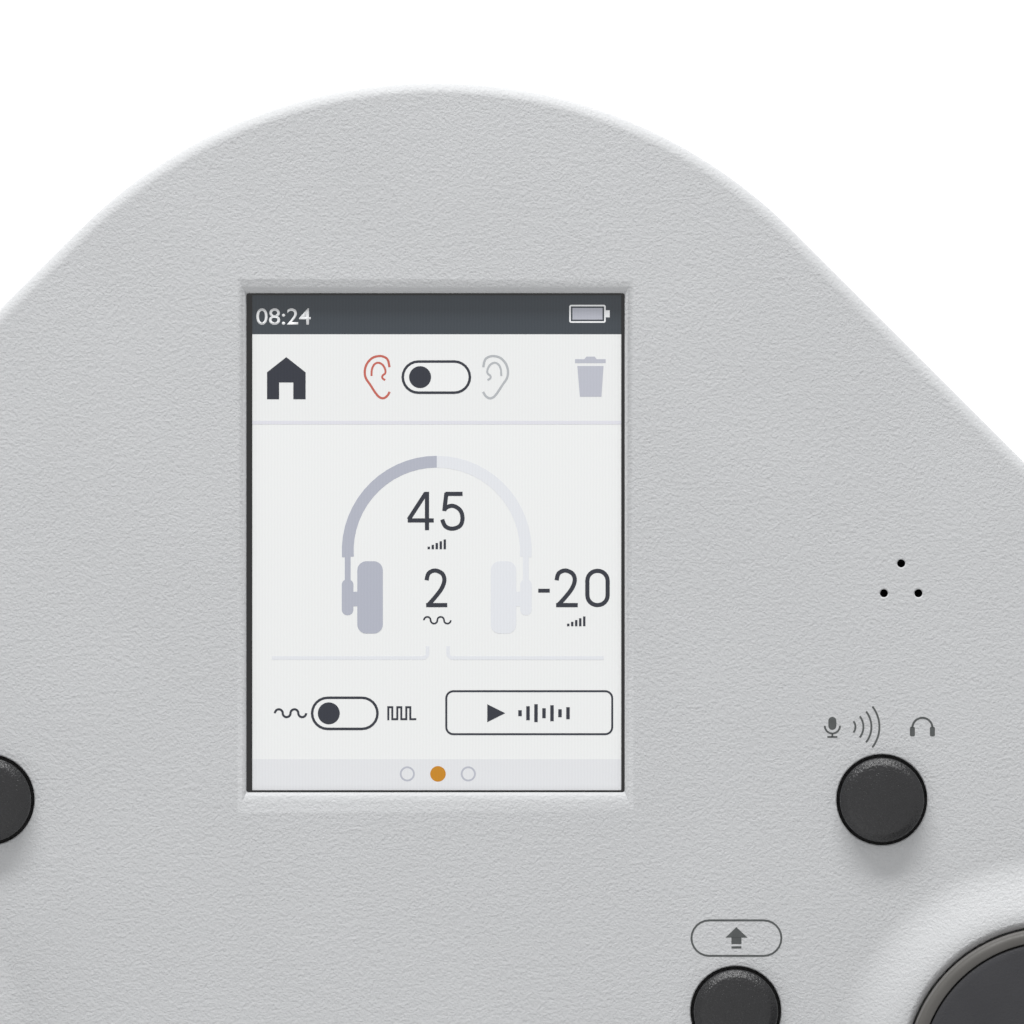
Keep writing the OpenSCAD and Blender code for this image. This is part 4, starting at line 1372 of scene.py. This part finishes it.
# Finishes for the CAD nodes that are shown as they are.

nodeFinishes = {
    "rear_plate": "socketPlate", "display_gasket": "gasketFoam", "display_panel": "paleMark",
    "display_frame": "blackPlastic", "display_ribbon": "ribbonFilm",
    "encoder_shaft": "steel", "encoder_nut": "steel", "encoder": "socketPlastic",
    "plunger": "plungerPlastic", "key_switches": "steel", "microphone": "gasketFoam",
    "microphone_boot": "footRubber", "board": "circuitBoard", "shield_can": "steel",
    "ribbon": "ribbonFilm", "battery_pack": "batteryFilm", "battery_contacts": "contactBrass",
    "screw": "steel", "screws": "steel",
}


def finishFor(name):
    for key in sorted(nodeFinishes, key=len, reverse=True):
        if name == key or name.endswith("_" + key):
            return materials[nodeFinishes[key]]
    return materials["blackPlastic"]


for name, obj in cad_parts.items():
    obj.data.materials.clear()
    obj.data.materials.append(finishFor(name))


# Floor, light and camera.

studio = {
    "floor": 12.0, "floorShade": 0.72, "floorGlow": 0.45, "ambient": 0.5,
    "ambientTint": (0.985, 0.99, 1.0, 1), "cameraDistance": 3.0, "viewWidth": 133.9,
    "viewX": 10.005, "viewY": 9.822, "aim": (0, 0.02, 0.03),
}


def straightRays(tree):  # 1 for what the camera sees, also in a gloss or through glass
    path = tree.nodes.new("ShaderNodeLightPath")
    result = path.outputs["Is Camera Ray"]
    for kind in ("Is Glossy Ray", "Is Transmission Ray"):
        larger = tree.nodes.new("ShaderNodeMath")
        larger.operation = "MAXIMUM"
        tree.links.new(result, larger.inputs[0])
        tree.links.new(path.outputs[kind], larger.inputs[1])
        result = larger.outputs[0]
    return result


def makeFloor():
    deselect()
    bpy.ops.mesh.primitive_plane_add(size=2 * studio["floor"], location=(0, 0, 0))
    obj = bpy.context.active_object
    obj.name = "floor"
    material = bpy.data.materials.new("paleFloor")
    material.use_nodes = True
    tree = material.node_tree
    tree.nodes.remove(tree.nodes["Principled BSDF"])
    matt = addNode(tree, "BsdfDiffuse", {"Color": [studio["floorShade"]] * 3 + [1]}, {})
    glow = addNode(
        tree, "Emission", {"Color": [studio["floorGlow"]] * 3 + [1]},
        {"Strength": straightRays(tree)},
    )
    both = addNode(tree, "AddShader", {}, {0: matt.outputs[0], 1: glow.outputs[0]})
    tree.links.new(both.outputs[0], tree.nodes["Material Output"].inputs["Surface"])
    obj.data.materials.append(material)


def makeWorld():
    world = bpy.data.worlds.new("studio")
    bpy.context.scene.world = world
    world.use_nodes = True
    tree = world.node_tree
    ambient = tree.nodes["Background"]
    setInputs(ambient, {"Color": studio["ambientTint"], "Strength": studio["ambient"]})
    white = addNode(tree, "Background", {"Color": (1, 1, 1, 1), "Strength": 1.0}, {})
    choice = addNode(tree, "MixShader", {}, {
        "Fac": straightRays(tree), 1: ambient.outputs[0], 2: white.outputs[0],
    })
    tree.links.new(choice.outputs[0], tree.nodes["World Output"].inputs["Surface"])


lamps = [  # where each softbox stands, what it points at, its sides and its power
    {"name": "rearSoftbox", "from": (-0.1, 1.32, 0.71), "size": (1.2, 0.22), "power": 23.6},
    {"name": "frontFill", "from": (-0.7, -1.1, 1.3), "size": (1.4, 1.0), "power": 3.5},
]


def makeLamps():
    for lamp in lamps:
        data = bpy.data.lights.new(lamp["name"], "AREA")
        data.shape = "RECTANGLE"
        data.size, data.size_y = lamp["size"]
        data.energy = lamp["power"]
        obj = bpy.data.objects.new(lamp["name"], data)
        bpy.context.scene.collection.objects.link(obj)
        obj.location = lamp["from"]
        aim = Vector(studio["aim"]) - obj.location
        obj.rotation_euler = aim.to_track_quat("-Z", "Y").to_euler()
        obj.visible_camera = False


def makeCamera():
    data = bpy.data.cameras.new("camera")
    data.sensor_width = 36.0
    data.lens = 36.0 * studio["cameraDistance"] / (studio["viewWidth"] * mm)
    data.clip_start, data.clip_end = 0.1, 60.0
    obj = bpy.data.objects.new("camera", data)
    bpy.context.scene.collection.objects.link(obj)
    target = Vector((studio["viewX"], studio["viewY"], 0)) * mm
    panel = Matrix.Translation(rowFromPanel.translation * mm)
    panel = panel @ Matrix.Rotation(console["tilt"], 4, "X")
    lift = Matrix.Translation(target + Vector((0, 0, studio["cameraDistance"])))
    obj.matrix_world = panel @ lift
    bpy.context.scene.camera = obj


makeFloor()
makeWorld()
makeLamps()
makeCamera()
bpy.context.scene.view_settings.view_transform = "Standard"
print("studio made")
